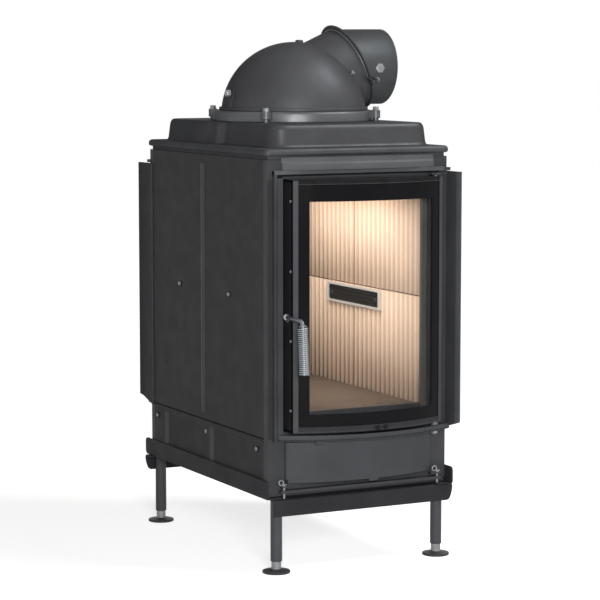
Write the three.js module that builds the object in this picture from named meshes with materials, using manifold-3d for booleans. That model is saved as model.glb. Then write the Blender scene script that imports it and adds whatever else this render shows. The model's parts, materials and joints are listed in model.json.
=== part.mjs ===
// Double-sided heating insert on four levelling feet: a cast-iron casing with a bowed
// glass door on the front and on the rear, a fluted fireclay firebox between them, and a
// round flue dome with a swivelling outlet on top.
// Millimetres. +X is the right of the front, -Y is the front, +Z is up. The origin is on
// the floor, in the middle of the four feet. The rear repeats the front, turned 180 degrees.
import * as THREE from 'three';
import { mergeVertices } from 'three/addons/utils/BufferGeometryUtils.js';
import Module from 'manifold-3d';

const wasm = await Module();
wasm.setup();

// ---------------------------------------------------------------- driving dimensions
const seatGap = 0.3;            // between pieces that touch
const casingWidth = 484;        // over the side panels
const casingDepth = 678;        // over the front and rear frames
const frameTop = 975;           // top of frames and side panels
const trayThick = 6;
const panelThick = 6;
const framePlate = 8;           // front plate of each frame
const frameWrap = 18;           // how far a frame wraps round the side
const frameCorner = 9;          // rounding of the frame's lower corners
const ribY = 8;                 // bead on the side panel
const ribWide = 9;
const ribHigh = 3;
const ribFoot = 18;             // its foot above the seam
const ribDrop = 21;             // its top below the frame's top
const panelBolts = [153, -135]; // along the side panel
const panelBoltZ = 644;
const lowerBolts = [295, 4, -281];
const lowerBoltDrop = 29;       // below the seam
const boltRadius = 7;
const fieldWall = 10;           // half of the rib between the sunken fields
const fieldRib = -32;           // and its middle
const fieldEnd = 238;
const fieldEdge = 8;

const slabThick = 16.5;
const slabStep = 8.7;           // recessed step under the slab
const slabOver = 6;             // slab beyond the casing
const slabCorner = 16;
const slabWayShy = 60;          // smoke passage, from the ends of the casing
const hoodHeight = 54;
const hoodInset = 36;
const hoodJog = 14;             // the hood is wider on one half of each side
const hoodCorner = 46;
const hoodWall = 7;

const ringOver = 19;            // ring's edge beyond the dome
const ringShy = 14;             // and its bore inside the dome
const ringThick = 25.5;
const lugReach = 14;            // bolt circle beyond the ring's edge
const lugRadius = 11;
const lugBolt = 8;              // radius of a bolt head
const domeRadius = 180;
const domeWall = 6;
const domeFootHigh = 8;         // foot flange of the dome
const domeFootOver = 5;
const domeCentreRise = 14;      // dome centre above the hood's top
const strapWide = 26;           // strap down the dome's back
const strapThick = 5;
const strapRise = 95.2;         // its end above the hood's top
const strapY = -7;
const knobX = 16;               // plug on top of the dome
const knobRadius = 10;
const neckRadius = 102;
const neckTilt = 24;            // degrees above level
const swivelLift = 38.1906;     // degrees from level to the swivel joint, seen from the dome's centre
const swivelOut = 10.8507;      // the joint's centre beyond the dome
const outletRadius = 94;
const outletWall = 4;
const outletBend = 62;          // where the outlet runs level, beyond the joint
const outletRun = 95;           // and its mouth
const bandWide = 8;
const bandThick = 10;
const bandPlay = 1;             // band clear of the outlet that turns in it
const earAngle = 0.35;          // where the band's screw sits, below the joint's side
const earRadius = 5;
const earOut = 10;              // screw beyond the band's edge
const earScrew = 4;
const earReach = 12;            // half of the screw's length

const doorwayInset = 60;        // clear doorway, in from the casing's side
const doorwayRise = 38;         // and up from the ledge's underside
const doorwayDrop = 67;         // and down from the frame's top
const surroundInset = 21.5;     // raised surround round each door
const surroundWide = 7.5;
const surroundDrop = 34;
const surroundProud = 12;
const lintelInset = 37;
const lintelProud = 5;
const lintelBow = 20;
const lintelRise = 5;           // lintel above the frame's top
const lintelCap = 9;            // height of its upper part
const lintelSet = 3;            // which is set back
const collarInset = 26;         // fixed collar round the door
const collarStrip = 14;         // width of its upright on the handle side
const collarPlate = 5;
const collarDrop = 39;          // its top below the frame's top
const collarHead = 4;           // height of its head band
const ledgeLow = 314;           // bowed ledge under the door
const ledgeTall = 14;
const ledgeThick = 5;
const ledgeInset = 1;           // half chord of the ledge, less than half the casing
const ledgeReach = 68;          // how far the ledge stands out
const cheekReach = 59;          // side cheek ahead of the frame, on the hinge side
const cheekThick = 4;
const cheekRise = 19;           // foot of the cheek's outer edge above the ledge's underside
const cheekFootDrop = 3;        // and its foot at the frame, below it
const cheekDrop = 35.5;
const cheekLip = 13;            // the outer edge is bent outward
const cheekBendOut = 5;

const leafInset = 42;           // door leaf: a flange with a bowed bay for the glass
const leafRise = 22;
const leafDrop = 45;
const leafBack = 2;             // running gap behind the leaf
const leafPlate = 4;
const bayReach = 53;            // bay edge ahead of the frame
const bayBow = 46;
const bayWall = 4;
const bayRise = 3;              // bay inside the leaf's flange, below and above
const bayDrop = 1;
const glassRise = 14;           // window inside the bay
const glassDrop = 9;
const glassThick = 5;
const glassEdge = 11;           // width of the upright glass holders
const glassRebate = 5;          // how far the pane runs under its holders
const holderScrews = 4;
const holderEnd = 52;           // first holder screw above the bay's foot
const holderShy = 48;           // and the last below its top
const holderReach = 42;
const hingeOut = 0.2;           // hinge axis beyond the leaf's edge
const hingeReach = 20;          // and ahead of the frame
const hingePin = 4;             // radius
const hingeBarrel = 7;
const barrelLong = 29;
const barrelRise = 11;          // lower barrel above the leaf's foot
const barrelDrop = 15;          // upper barrel below its top
const hingeSlack = 0.25;

const handleZ = 609.6;          // height of the handle's pivot
const handleReach = 22;         // pivot ahead of the frame
const handleShaft = 5;          // radius
const handleRod = 4.8;          // radius
const rodOut = 8;               // rod beyond the leaf's edge
const rodBend = 17;
const hubRadius = 11;
const hubLong = 6;
const capRadius = 7.5;
const capLong = 15;
const nutRadius = 5.5;
const nutLong = 18;
const camReach = 17.5;
const camThick = 4;
const keeperGap = 2.5;          // keeper beside the cam
const gripReach = 118;          // hanging grip ahead of the frame
const gripLean = 8;
const gripDrop = 15.6;          // top of the spring below the pivot
const gripLong = 109;
const springMean = 9.8;         // radius of the coil's centre line
const springWire = 2.1;         // radius
const springTurns = 21;

const apronInset = 46;
const apronBow = 34;
const apronRise = 15;           // apron above the sill
const apronDrop = 4.5;          // and below the ledge
const apronThick = 5;
const lugDrop = 8;              // the apron's lugs below its edge
const leverThick = 3;
const leverIn = 72;             // middle of the air lever, in from the apron's end
const leverWide = 22;
const leverReach = 44;
const leverLip = 5;
const leverTravel = 30;         // to each side
const shutterOver = 18;         // shutter beyond the lever, to each side
const shutterTall = 12;
const screwInset = [39, 28];    // the two screws that hold the apron, in from the casing's sides
const screwReach = 11;          // ahead of the frame
const screwRadius = 3;
const sillRise = 13;            // sill above the side rails' underside
const sillTall = 7;
const sillProud = 17;

const fireInset = 68;           // inner faces of the fluted side walls, in from the casing
const tileThick = 30;
const tileDrop = 79;
const tileJointZ = 637;
const tileJointY = 0.6;         // half of the upright joint
const floorPlateRise = 6;       // above the doorway's foot
const floorPlateThick = 8;
const hearthThick = 10.7;
const slotX = 60;               // air slots in hearth and floor plate
const slotLong = 18;
const slotWide = 7;
const slotShy = 77;
const fluteCount = 14;          // flutes on one tile
const fluteDeep = 3;
const baffleThick = 20;
const baffleShy = 94;
const nozzleHalf = 140;
const nozzleTall = 50;
const nozzleDrop = 4;           // below the tile joint
const nozzleProud = 6;
const nozzleRim = 9;
const slatTall = 3;
const slatPitch = 8;

const railThick = 4;
const sideRailLow = 177;
const sideRailTall = 43;
const sideRailWall = 5;         // upright wall of a side rail
const sideRailFlange = 38;
const sideRailCorner = 9;
const sideRailOver = 11;        // a side rail ends close to one end of the casing
const sideRailRun = 32;         // and runs on beyond the other
const crossRailTall = 41;
const crossRailFlange = 34;
const crossRailShy = 10;
const crossRailOver = 12;
const legInset = 24;
const legRadius = 14;
const legBore = 12.2;
const legBottom = 28;
const footRadius = 33;
const footThick = 6;
const stemRadius = 11.75;
const stemTop = 110;

// ---------------------------------------------------------------- derived
const halfW = casingWidth / 2;
const halfD = casingDepth / 2;
const face = -halfD;                               // front face of the front frame
const trayBottom = sideRailLow + railThick + seatGap;
const sideRailHigh = sideRailLow + sideRailTall;
const sideRailFront = halfD + sideRailOver;
const sideRailLong = halfD + sideRailRun;
const crossRailLow = sideRailLow - crossRailTall;
const crossRailShort = halfW - crossRailShy;
const crossRailLong = halfW + crossRailOver;
const legX = halfW - legInset;
const legY = halfD;
const seamZ = ledgeLow + 4;                        // lower side plates end, side panels begin
const sillLow = sideRailLow + sillRise;
const sillHigh = sillLow + sillTall;
const screwX = [screwInset[0] - halfW, halfW - screwInset[1]];
const screwLow = sideRailLow + 0.5;
const apronHalf = halfW - apronInset;
const apronLow = sillHigh + apronRise;
const apronHigh = ledgeLow - apronDrop;
const leverX = leverIn - apronHalf;
const leverLow = apronHigh + 0.5;
const leverHigh = leverLow + leverThick;
const doorwayHalf = halfW - doorwayInset;
const doorwayLow = ledgeLow + doorwayRise;
const doorwayHigh = frameTop - doorwayDrop;
const surroundHalf = halfW - surroundInset;
const surroundHigh = frameTop - surroundDrop;
const collarLeft = collarInset - halfW;
const collarHigh = frameTop - collarDrop;
const ledgeHigh = ledgeLow + ledgeTall;
const ledgeHalf = halfW - ledgeInset;
const cheekLow = ledgeLow + cheekRise;
const cheekFoot = ledgeLow - cheekFootDrop;
const cheekHigh = frameTop - cheekDrop;
const leafHalf = halfW - leafInset;
const leafLow = ledgeLow + leafRise;
const leafHigh = frameTop - leafDrop;
const bayLow = leafLow + bayRise;
const bayHigh = leafHigh - bayDrop;
const glassLow = bayLow + glassRise;
const glassHigh = bayHigh - glassDrop;
const hingeX = leafHalf + hingeOut;
const gripTop = handleZ - gripDrop;
const gripBottom = gripTop - gripLong;
const fireHalf = halfW - fireInset;
const tileTop = frameTop - tileDrop;
const floorPlateLow = doorwayLow + floorPlateRise;
const hearthLow = floorPlateLow + floorPlateThick + seatGap;
const hearthTop = hearthLow + hearthThick;
const baffleHalfDepth = halfD - baffleShy;
const nozzleHigh = tileJointZ - nozzleDrop;
const nozzleLow = nozzleHigh - nozzleTall;
const slabLow = frameTop + seatGap;
const slabTop = slabLow + slabStep + slabThick;
const hoodLow = slabTop + seatGap;
const hoodTop = hoodLow + hoodHeight;
const ringRadius = domeRadius + ringOver;
const ringBore = domeRadius - ringShy;
const ringLow = hoodTop + seatGap;
const ringTop = ringLow + ringThick;
const domeZ = hoodTop + domeCentreRise;
const strapTop = hoodTop + strapRise;
const lift = THREE.MathUtils.degToRad(swivelLift);
const swivelX = (domeRadius + swivelOut) * Math.cos(lift);
const swivelZ = domeZ + (domeRadius + swivelOut) * Math.sin(lift);
const outletEnd = swivelX + outletRun;
const tilt = THREE.MathUtils.degToRad(neckTilt);
const neckAxis = new THREE.Vector3(Math.cos(tilt), 0, Math.sin(tilt));
const swivel = new THREE.Vector3(swivelX, 0, swivelZ);

// ---------------------------------------------------------------- tools of the trade
function toSolid(geometry) {
  const bare = geometry.clone();
  bare.deleteAttribute('normal');
  bare.deleteAttribute('uv');
  const merged = mergeVertices(bare, 1e-4);
  return new wasm.Manifold(new wasm.Mesh({
    numProp: 3,
    vertProperties: new Float32Array(merged.attributes.position.array),
    triVerts: new Uint32Array(merged.index.array),
  }));
}

function toGeometry(solid) {
  const mesh = solid.getMesh();
  const geometry = new THREE.BufferGeometry();
  geometry.setAttribute('position', new THREE.BufferAttribute(mesh.vertProperties, 3));
  geometry.setIndex(new THREE.BufferAttribute(mesh.triVerts, 1));
  geometry.computeVertexNormals();
  return geometry;
}

function join(...solids) {
  return solids.reduce((sum, piece) => sum.add(piece));
}

function block(x0, x1, y0, y1, z0, z1) {
  const geometry = new THREE.BoxGeometry(x1 - x0, y1 - y0, z1 - z0);
  geometry.translate((x0 + x1) / 2, (y0 + y1) / 2, (z0 + z1) / 2);
  return toSolid(geometry);
}

function shapeOf(points) {
  return new THREE.Shape(points.map(([a, b]) => new THREE.Vector2(a, b)));
}

// upright prism over a plan outline of [x, y]
function prismZ(points, z0, z1) {
  const geometry = new THREE.ExtrudeGeometry(shapeOf(points), { depth: z1 - z0, bevelEnabled: false });
  geometry.translate(0, 0, z0);
  return toSolid(geometry);
}

// prism along X over an outline of [y, z]
function prismX(points, x0, x1) {
  const geometry = new THREE.ExtrudeGeometry(shapeOf(points), { depth: x1 - x0, bevelEnabled: false });
  geometry.applyMatrix4(new THREE.Matrix4().makeBasis(
    new THREE.Vector3(0, 1, 0), new THREE.Vector3(0, 0, 1), new THREE.Vector3(1, 0, 0)));
  geometry.translate(x0, 0, 0);
  return toSolid(geometry);
}

// prism along Y over an outline of [z, x]
function prismY(points, y0, y1) {
  const geometry = new THREE.ExtrudeGeometry(shapeOf(points), { depth: y1 - y0, bevelEnabled: false });
  geometry.applyMatrix4(new THREE.Matrix4().makeBasis(
    new THREE.Vector3(0, 0, 1), new THREE.Vector3(1, 0, 0), new THREE.Vector3(0, 1, 0)));
  geometry.translate(0, y0, 0);
  return toSolid(geometry);
}

// round or six-sided bar from one point to another
function bar(from, to, radius, sides = 16) {
  const a = new THREE.Vector3(...from);
  const b = new THREE.Vector3(...to);
  const geometry = new THREE.CylinderGeometry(radius, radius, a.distanceTo(b), sides);
  geometry.applyQuaternion(new THREE.Quaternion().setFromUnitVectors(
    new THREE.Vector3(0, 1, 0), b.clone().sub(a).normalize()));
  geometry.translate((a.x + b.x) / 2, (a.y + b.y) / 2, (a.z + b.z) / 2);
  return toSolid(geometry);
}

// body of revolution about Z over a closed profile of [radius, z]
function turned(profile, sides, x = 0, y = 0) {
  const points = profile.map(([r, z]) => new THREE.Vector2(r, z));
  const geometry = new THREE.LatheGeometry(points, sides);
  geometry.rotateX(Math.PI / 2);
  geometry.translate(x, y, 0);
  return toSolid(geometry);
}

// closed skin over stacked outlines with equal point counts
function stacked(outlines) {
  const count = outlines[0].length;
  const positions = [];
  const index = [];
  outlines.forEach((ring) => ring.forEach((p) => positions.push(p.x, p.y, p.z)));
  for (let level = 0; level < outlines.length - 1; level += 1) {
    for (let i = 0; i < count; i += 1) {
      const a = level * count + i;
      const b = level * count + (i + 1) % count;
      index.push(a, b, b + count, a, b + count, a + count);
    }
  }
  [0, outlines.length - 1].forEach((level, end) => {
    const centre = new THREE.Vector3();
    outlines[level].forEach((p) => centre.add(p));
    centre.divideScalar(count);
    const middle = positions.length / 3;
    positions.push(centre.x, centre.y, centre.z);
    for (let i = 0; i < count; i += 1) {
      const a = level * count + i;
      const b = level * count + (i + 1) % count;
      index.push(...(end ? [a, b, middle] : [b, a, middle]));
    }
  });
  const geometry = new THREE.BufferGeometry();
  geometry.setAttribute('position', new THREE.Float32BufferAttribute(positions, 3));
  geometry.setIndex(index);
  return toSolid(geometry);
}

// outline with rounded corners through [x, y] corners, each with its radius
function rounded(corners, z, inset = 0, steps = 3) {
  const points = [];
  corners.forEach(([x, y, radius], i) => {
    const before = corners[(i + corners.length - 1) % corners.length];
    const after = corners[(i + 1) % corners.length];
    const here = new THREE.Vector2(x, y);
    const toBefore = new THREE.Vector2(before[0] - x, before[1] - y).normalize();
    const toAfter = new THREE.Vector2(after[0] - x, after[1] - y).normalize();
    const start = here.clone().addScaledVector(toBefore, radius);
    const finish = here.clone().addScaledVector(toAfter, radius);
    for (let s = 0; s <= steps; s += 1) {
      const t = s / steps;
      points.push(new THREE.Vector2()
        .addScaledVector(start, (1 - t) ** 2)
        .addScaledVector(here, 2 * t * (1 - t))
        .addScaledVector(finish, t ** 2));
    }
  });
  return points.map((p, i) => {
    const prev = points[(i + points.length - 1) % points.length];
    const next = points[(i + 1) % points.length];
    const normal = new THREE.Vector2(next.y - prev.y, prev.x - next.x).normalize();
    return new THREE.Vector3(p.x - normal.x * inset, p.y - normal.y * inset, z);
  });
}

// how far an arc over a chord of +-half stands out at x
function bow(x, half, rise) {
  const radius = (half * half + rise * rise) / (2 * rise);
  return Math.sqrt(radius * radius - x * x) - (radius - rise);
}

// arc from x0 to x1 standing out towards the front from y
function arc(x0, x1, y, half, rise, steps = 14) {
  return Array.from({ length: steps + 1 }, (_, i) => {
    const x = x0 + (x1 - x0) * i / steps;
    return [x, y - bow(x, half, rise)];
  });
}

// body of revolution about any axis, over a closed profile of [radius, distance along it]
function turnedAlong(profile, sides, axis, at) {
  const geometry = new THREE.LatheGeometry(profile.map(([r, d]) => new THREE.Vector2(r, d)), sides);
  geometry.applyQuaternion(new THREE.Quaternion().setFromUnitVectors(new THREE.Vector3(0, 1, 0), axis));
  geometry.translate(at.x, at.y, at.z);
  return toSolid(geometry);
}

// circle of points about a centre, normal to an axis in the XZ plane
function circle(centre, lean, radius, count = 32) {
  const up = new THREE.Vector3(-Math.sin(lean), 0, Math.cos(lean));
  return Array.from({ length: count }, (_, i) => {
    const angle = 2 * Math.PI * i / count;
    return centre.clone()
      .add(new THREE.Vector3(0, radius * Math.cos(angle), 0))
      .addScaledVector(up, radius * Math.sin(angle));
  });
}

function bolt(from, axis, radius = 6, high = 5) {
  const to = from.map((v, i) => v + axis[i] * high);
  return bar(from, to, radius, 6);
}

const looks = {
  iron: [0x3b3c3e, 0.62, 0.35],
  sheet: [0x37383a, 0.6, 0.35],
  rail: [0x2d2e30, 0.55, 0.4],
  glass: [0x20242a, 0.08, 0.0],
  clay: [0xe0cbb0, 0.9, 0.0],
  hearth: [0x76685a, 0.85, 0.0],
  steel: [0xbfbab4, 0.35, 0.9],
  zinc: [0x9a9b9e, 0.4, 0.85],
};

function piece(name, solid, look) {
  const [color, roughness, metalness] = looks[look];
  const material = new THREE.MeshStandardMaterial({ color, roughness, metalness });
  const geometry = solid.isBufferGeometry ? solid : toGeometry(solid);
  const mesh = new THREE.Mesh(geometry, material);
  mesh.name = name;
  return mesh;
}

// ---------------------------------------------------------------- one front, built twice
// Everything here is drawn for the front; side is 'front' or 'rear'.
function buildSide(side) {
  const group = new THREE.Group();

  // cast frame: plate with doorway and lower opening, wraps, surround, sill and ledge
  const wrapBack = face + frameWrap;
  let frame = block(-halfW, halfW, face, face + framePlate, trayBottom + trayThick + seatGap, frameTop);
  frame = frame.subtract(block(-doorwayHalf, doorwayHalf, face - 1, face + framePlate + 1,
    doorwayLow, doorwayHigh));
  frame = frame.subtract(block(-apronHalf + 26, apronHalf - 26, face - 1, face + framePlate + 1,
    apronLow + 8, apronHigh - 12));
  const wrapLow = trayBottom + trayThick + seatGap;
  const ledgeTop = floorPlateLow - seatGap;
  frame = join(frame,
    block(-halfW, -halfW + panelThick, face, wrapBack, wrapLow, frameTop),
    block(halfW - panelThick, halfW, face, wrapBack, wrapLow, frameTop),
    block(-halfW + panelThick + 2, halfW - panelThick - 2, face + framePlate - 1, wrapBack,
      ledgeTop - framePlate, ledgeTop),
    block(-surroundHalf - surroundWide, -surroundHalf, face - surroundProud, face,
      ledgeLow, surroundHigh + surroundWide),
    block(-surroundHalf - surroundWide, halfW + cheekThick, face - surroundProud, face,
      surroundHigh, surroundHigh + surroundWide),
    block(screwX[0] - 9, screwX[1] + 9, face - sillProud, face, sillLow, sillHigh));
  screwX.forEach((x) => {
    frame = frame.subtract(bar([x, face - screwReach, sillLow - 1],
      [x, face - screwReach, sillHigh + 1], screwRadius + 0.6, 10));
  });
  [-1, 1].forEach((hand) => {
    frame = frame.subtract(prismY([[wrapLow - 1, hand * (halfW + 1)],
      [wrapLow + frameCorner, hand * (halfW + 1)],
      [wrapLow + frameCorner * 0.3, hand * (halfW - frameCorner * 0.3)],
      [wrapLow - 1, hand * (halfW - frameCorner)]], face - 1, wrapBack + 1));
  });
  // slot for the air lever
  const slotHalf = leverWide / 2 + leverTravel + 1;
  frame = frame.subtract(block(leverX - slotHalf, leverX + slotHalf, face - 1, face + framePlate + 1,
    leverLow - seatGap, leverHigh + seatGap));
  // keeper beside the latch cam
  const camInner = -leafHalf + bayWall + 1;
  const keeperX = camInner + camThick + keeperGap;
  frame = frame.add(prismX([[face, handleZ - 22], [face, handleZ + 6],
    [face - 9, handleZ + 2], [face - 9, handleZ - 18]], keeperX, keeperX + camThick));
  group.add(piece(`${side}_frame`, frame, 'iron'));

  // bowed lintel above the door
  const lintelLow = surroundHigh + surroundWide + 2;
  const lintelTop = frameTop + lintelRise;
  const lintelHalf = halfW - lintelInset;
  const lintelBack = face - seatGap;
  const lintelFace = face - lintelProud;
  const lintelPlan = (set) => [[-lintelHalf, lintelBack],
    ...arc(2 - lintelHalf, lintelHalf - 2, lintelFace + set, lintelHalf + 1, lintelBow),
    [lintelHalf, lintelBack]].reverse();
  const lintel = join(
    prismZ(lintelPlan(0), lintelLow, lintelTop - lintelCap + 1),
    prismZ(lintelPlan(lintelSet), lintelTop - lintelCap, lintelTop));
  group.add(piece(`${side}_lintel`, lintel, 'iron'));

  // fixed collar round the door: upright, head band, bowed ledge and the side cheek
  const cheekX = halfW + seatGap;
  const cheekOut = face - cheekReach;
  const cheekBend = cheekOut + cheekLip;
  const cheekBack = face + frameWrap - 4;
  let cheek = prismZ([[cheekX, cheekBack], [cheekX, cheekBend], [cheekX + cheekBendOut, cheekOut],
    [cheekX + cheekBendOut + cheekThick, cheekOut + 2], [cheekX + cheekThick, cheekBend],
    [cheekX + cheekThick, cheekBack]], cheekFoot, cheekHigh);
  cheek = cheek.subtract(prismX([[face, cheekFoot], [cheekOut - 5, cheekFoot - 1], [cheekOut - 5, cheekLow],
    [cheekOut, cheekLow]].reverse(), cheekX - 2, cheekX + 20));
  const collarBack = face - seatGap;
  const collarFace = face - collarPlate;
  const ledgeX = collarLeft + ledgeHalf;
  const ledgePlan = (inset) => [[collarLeft + inset, collarBack],
    ...arc(collarLeft + inset - ledgeX, cheekX + 1 - ledgeX, collarFace - 1 + inset,
      ledgeHalf, ledgeReach).map(([x, y]) => [x + ledgeX, y]),
    [cheekX + 1, collarBack]].reverse();
  const collar = join(cheek,
    block(collarLeft, collarLeft + collarStrip, collarFace, collarBack, ledgeLow, collarHigh),
    block(collarLeft, cheekX + 1, collarFace, collarBack, collarHigh - collarHead, collarHigh),
    prismZ(ledgePlan(0), ledgeLow, ledgeHigh)
      .subtract(prismZ(ledgePlan(ledgeThick), ledgeLow + ledgeThick, ledgeHigh + 1)))
    .subtract(bar([hingeX, face - hingeReach, ledgeLow - 1], [hingeX, face - hingeReach, ledgeHigh + 1],
      hingePin + seatGap, 12));
  group.add(piece(`${side}_door_collar`, collar, 'sheet'));

  // bowed apron below the door
  const apronOut = arc(-apronHalf, apronHalf, face - 5, apronHalf, apronBow, 12);
  const apronIn = arc(-apronHalf + apronThick, apronHalf - apronThick, face - 5,
    apronHalf - apronThick, apronBow - apronThick, 12);
  const lugLow = apronLow - lugDrop;
  let apron = join(
    prismZ([...apronOut, ...apronIn.reverse()].reverse(), apronLow, apronHigh),
    block(-apronHalf, -apronHalf + apronThick, face - 6.5, face - seatGap, apronLow, apronHigh),
    block(apronHalf - apronThick, apronHalf, face - 6.5, face - seatGap, apronLow, apronHigh),
    block(screwX[0] - 8, -apronHalf + 2, face - 18, face - seatGap, lugLow, lugLow + 3),
    block(apronHalf - 2, screwX[1] + 8, face - 18, face - seatGap, lugLow, lugLow + 3),
    block(-apronHalf, -apronHalf + 2, face - 18, face - 3, lugLow, apronLow + 10),
    block(apronHalf - 2, apronHalf, face - 18, face - 3, lugLow, apronLow + 10));
  screwX.forEach((x) => {
    apron = apron.subtract(bar([x, face - screwReach, lugLow - 1],
      [x, face - screwReach, lugLow + 4], screwRadius + 0.6, 10));
  });
  group.add(piece(`${side}_apron`, apron, 'sheet'));

  // wing screws that hold the apron down to the sill, each with a ring beside its head
  screwX.forEach((x, i) => {
    const y = face - screwReach;
    const headLow = lugLow + 3 + seatGap;
    const eye = new THREE.TorusGeometry(6, 1.9, 5, 10);
    eye.rotateX(Math.PI / 2);
    eye.translate(x - 8.5, y - 2, headLow + 9);
    const screw = join(
      bar([x, y, screwLow], [x, y, headLow + 3], screwRadius, 10),
      bar([x, y, headLow], [x, y, headLow + 3], screwRadius + 2, 10),
      block(x - 6.5, x + 6.5, y - 3, y + 1, headLow + 2, headLow + 5),
      toSolid(eye));
    group.add(piece(`${side}_apron_screw_${i ? 'right' : 'left'}`, screw, 'zinc'));
  });

  // air lever that slides sideways between the apron and the ledge, with its shutter inside
  const leverLeft = leverX - leverWide / 2;
  const leverRight = leverX + leverWide / 2;
  const lever = join(
    block(leverLeft, leverRight, face - leverReach, face + framePlate + 4, leverLow, leverHigh),
    block(leverLeft, leverRight, face - leverReach, face - leverReach + leverThick,
      leverLow - leverLip, leverHigh),
    block(leverLeft - shutterOver, leverRight + shutterOver, face + framePlate + seatGap,
      face + framePlate + 4, leverLow - shutterTall, leverHigh + shutterTall));
  group.add(piece(`${side}_air_lever`, lever, 'iron'));

  // door leaf: flange, bowed bay and hinge barrels
  const leafFace = face - leafBack - leafPlate;
  const bayFace = face - bayReach;
  const bayPlan = (half, rise, from, back) => [[-half, back],
    ...arc(-half, half, bayFace + from, half, rise), [half, back]].reverse();
  const hingeY = face - hingeReach;
  const barrelTop = leafHigh - barrelDrop;
  const barrelFoot = leafLow + barrelRise;
  const barrels = [[barrelTop - barrelLong, barrelTop], [barrelFoot, barrelFoot + barrelLong]];
  const notches = [[barrelTop, leafHigh + 1], [leafLow - 1, barrelFoot]];
  let leaf = join(
    block(-leafHalf, leafHalf, leafFace, face - leafBack, leafLow, leafHigh),
    prismZ(bayPlan(leafHalf, bayBow, 0, face - leafBack - 0.5), bayLow, bayHigh));
  // hollow of the bay, with a solid corner behind each hinge
  let hollow = prismZ(bayPlan(leafHalf - bayWall, bayBow - 1, 9, face + 5),
    bayLow + bayWall, bayHigh - bayWall);
  notches.forEach(([z0, z1]) => {
    hollow = hollow.subtract(block(hingeX - 18, hingeX, hingeY - 17, hingeY + 17,
      z0 - bayWall, z1 + bayWall));
  });
  leaf = leaf.subtract(hollow);
  barrels.forEach(([z0, z1]) => {
    leaf = join(leaf,
      bar([hingeX, hingeY, z0], [hingeX, hingeY, z1], hingeBarrel, 12),
      block(hingeX - hingeBarrel, hingeX, hingeY, leafFace + 1, z0, z1));
  });
  notches.forEach(([z0, z1]) => {
    leaf = leaf.subtract(block(hingeX - 12, hingeX + 12, hingeY - 12, leafFace - 1, z0, z1));
  });
  // window and the pocket that the glass sits in
  const windowHalf = leafHalf - glassEdge;
  leaf = leaf.subtract(prismZ([...arc(-windowHalf, windowHalf, bayFace - 4, leafHalf, bayBow),
    [windowHalf, face - 20], [-windowHalf, face - 20]].reverse(), glassLow, glassHigh));
  const pocket = (slack) => {
    const edge = windowHalf + glassRebate + slack;
    return prismZ([...arc(-edge, edge, bayFace + 2 - slack, leafHalf, bayBow),
      ...arc(-edge, edge, bayFace + 2 + glassThick + slack, leafHalf, bayBow).reverse()].reverse(),
    glassLow - 4 - slack, glassHigh + 4 + slack);
  };
  leaf = leaf.subtract(pocket(seatGap));
  // pin holes and the handle's bush
  barrels.forEach(([z0, z1]) => {
    leaf = leaf.subtract(bar([hingeX, hingeY, z0 - 1], [hingeX, hingeY, z1 + 1], hingePin + hingeSlack, 12));
  });
  const handleY = face - handleReach;
  leaf = leaf.subtract(bar([-leafHalf - 2, handleY, handleZ], [-leafHalf + bayWall + 2, handleY, handleZ],
    handleShaft + hingeSlack, 12));
  // glass-holder screws on both sides of the bay
  const holderPitch = (bayHigh - holderShy - bayLow - holderEnd) / (holderScrews - 1);
  for (let i = 0; i < holderScrews; i += 1) {
    const z = bayLow + holderEnd + i * holderPitch;
    leaf = leaf.add(bolt([-leafHalf + 0.5, face - holderReach, z], [-1, 0, 0], 3.6, 3.5));
    leaf = leaf.add(bolt([leafHalf - 0.5, face - holderReach, z], [1, 0, 0], 3.6, 3.5));
  }
  group.add(piece(`${side}_door_leaf`, leaf, 'iron'));
  group.add(piece(`${side}_door_glass`, pocket(0), 'glass'));

  // hinges: a tongue with its pin under the collar's head, a bolted pin in the ledge
  const hingeTop = join(
    block(hingeX - 12, hingeX + 12, hingeY - 9, collarFace - seatGap, leafHigh + 1, collarHigh),
    bar([hingeX, hingeY, barrelTop - barrelLong + 3], [hingeX, hingeY, collarHigh - 1], hingePin, 12));
  group.add(piece(`${side}_hinge_top`, hingeTop, 'zinc'));
  const bushLow = ledgeLow + ledgeThick + seatGap;
  const bushHigh = barrelFoot - seatGap;
  const hingeLow = join(
    bar([hingeX, hingeY, ledgeLow - seatGap], [hingeX, hingeY, ledgeLow - 9], hingeBarrel + 1.5, 6),
    bar([hingeX, hingeY, ledgeLow - 11], [hingeX, hingeY, barrelFoot + barrelLong - 3], hingePin, 12),
    turned([[0, bushLow], [hingeBarrel + 3.5, bushLow], [hingeBarrel, bushHigh - 3],
      [hingePin + 2, bushHigh], [0, bushHigh]], 12, hingeX, hingeY));
  group.add(piece(`${side}_hinge_bottom`, hingeLow, 'zinc'));

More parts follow.
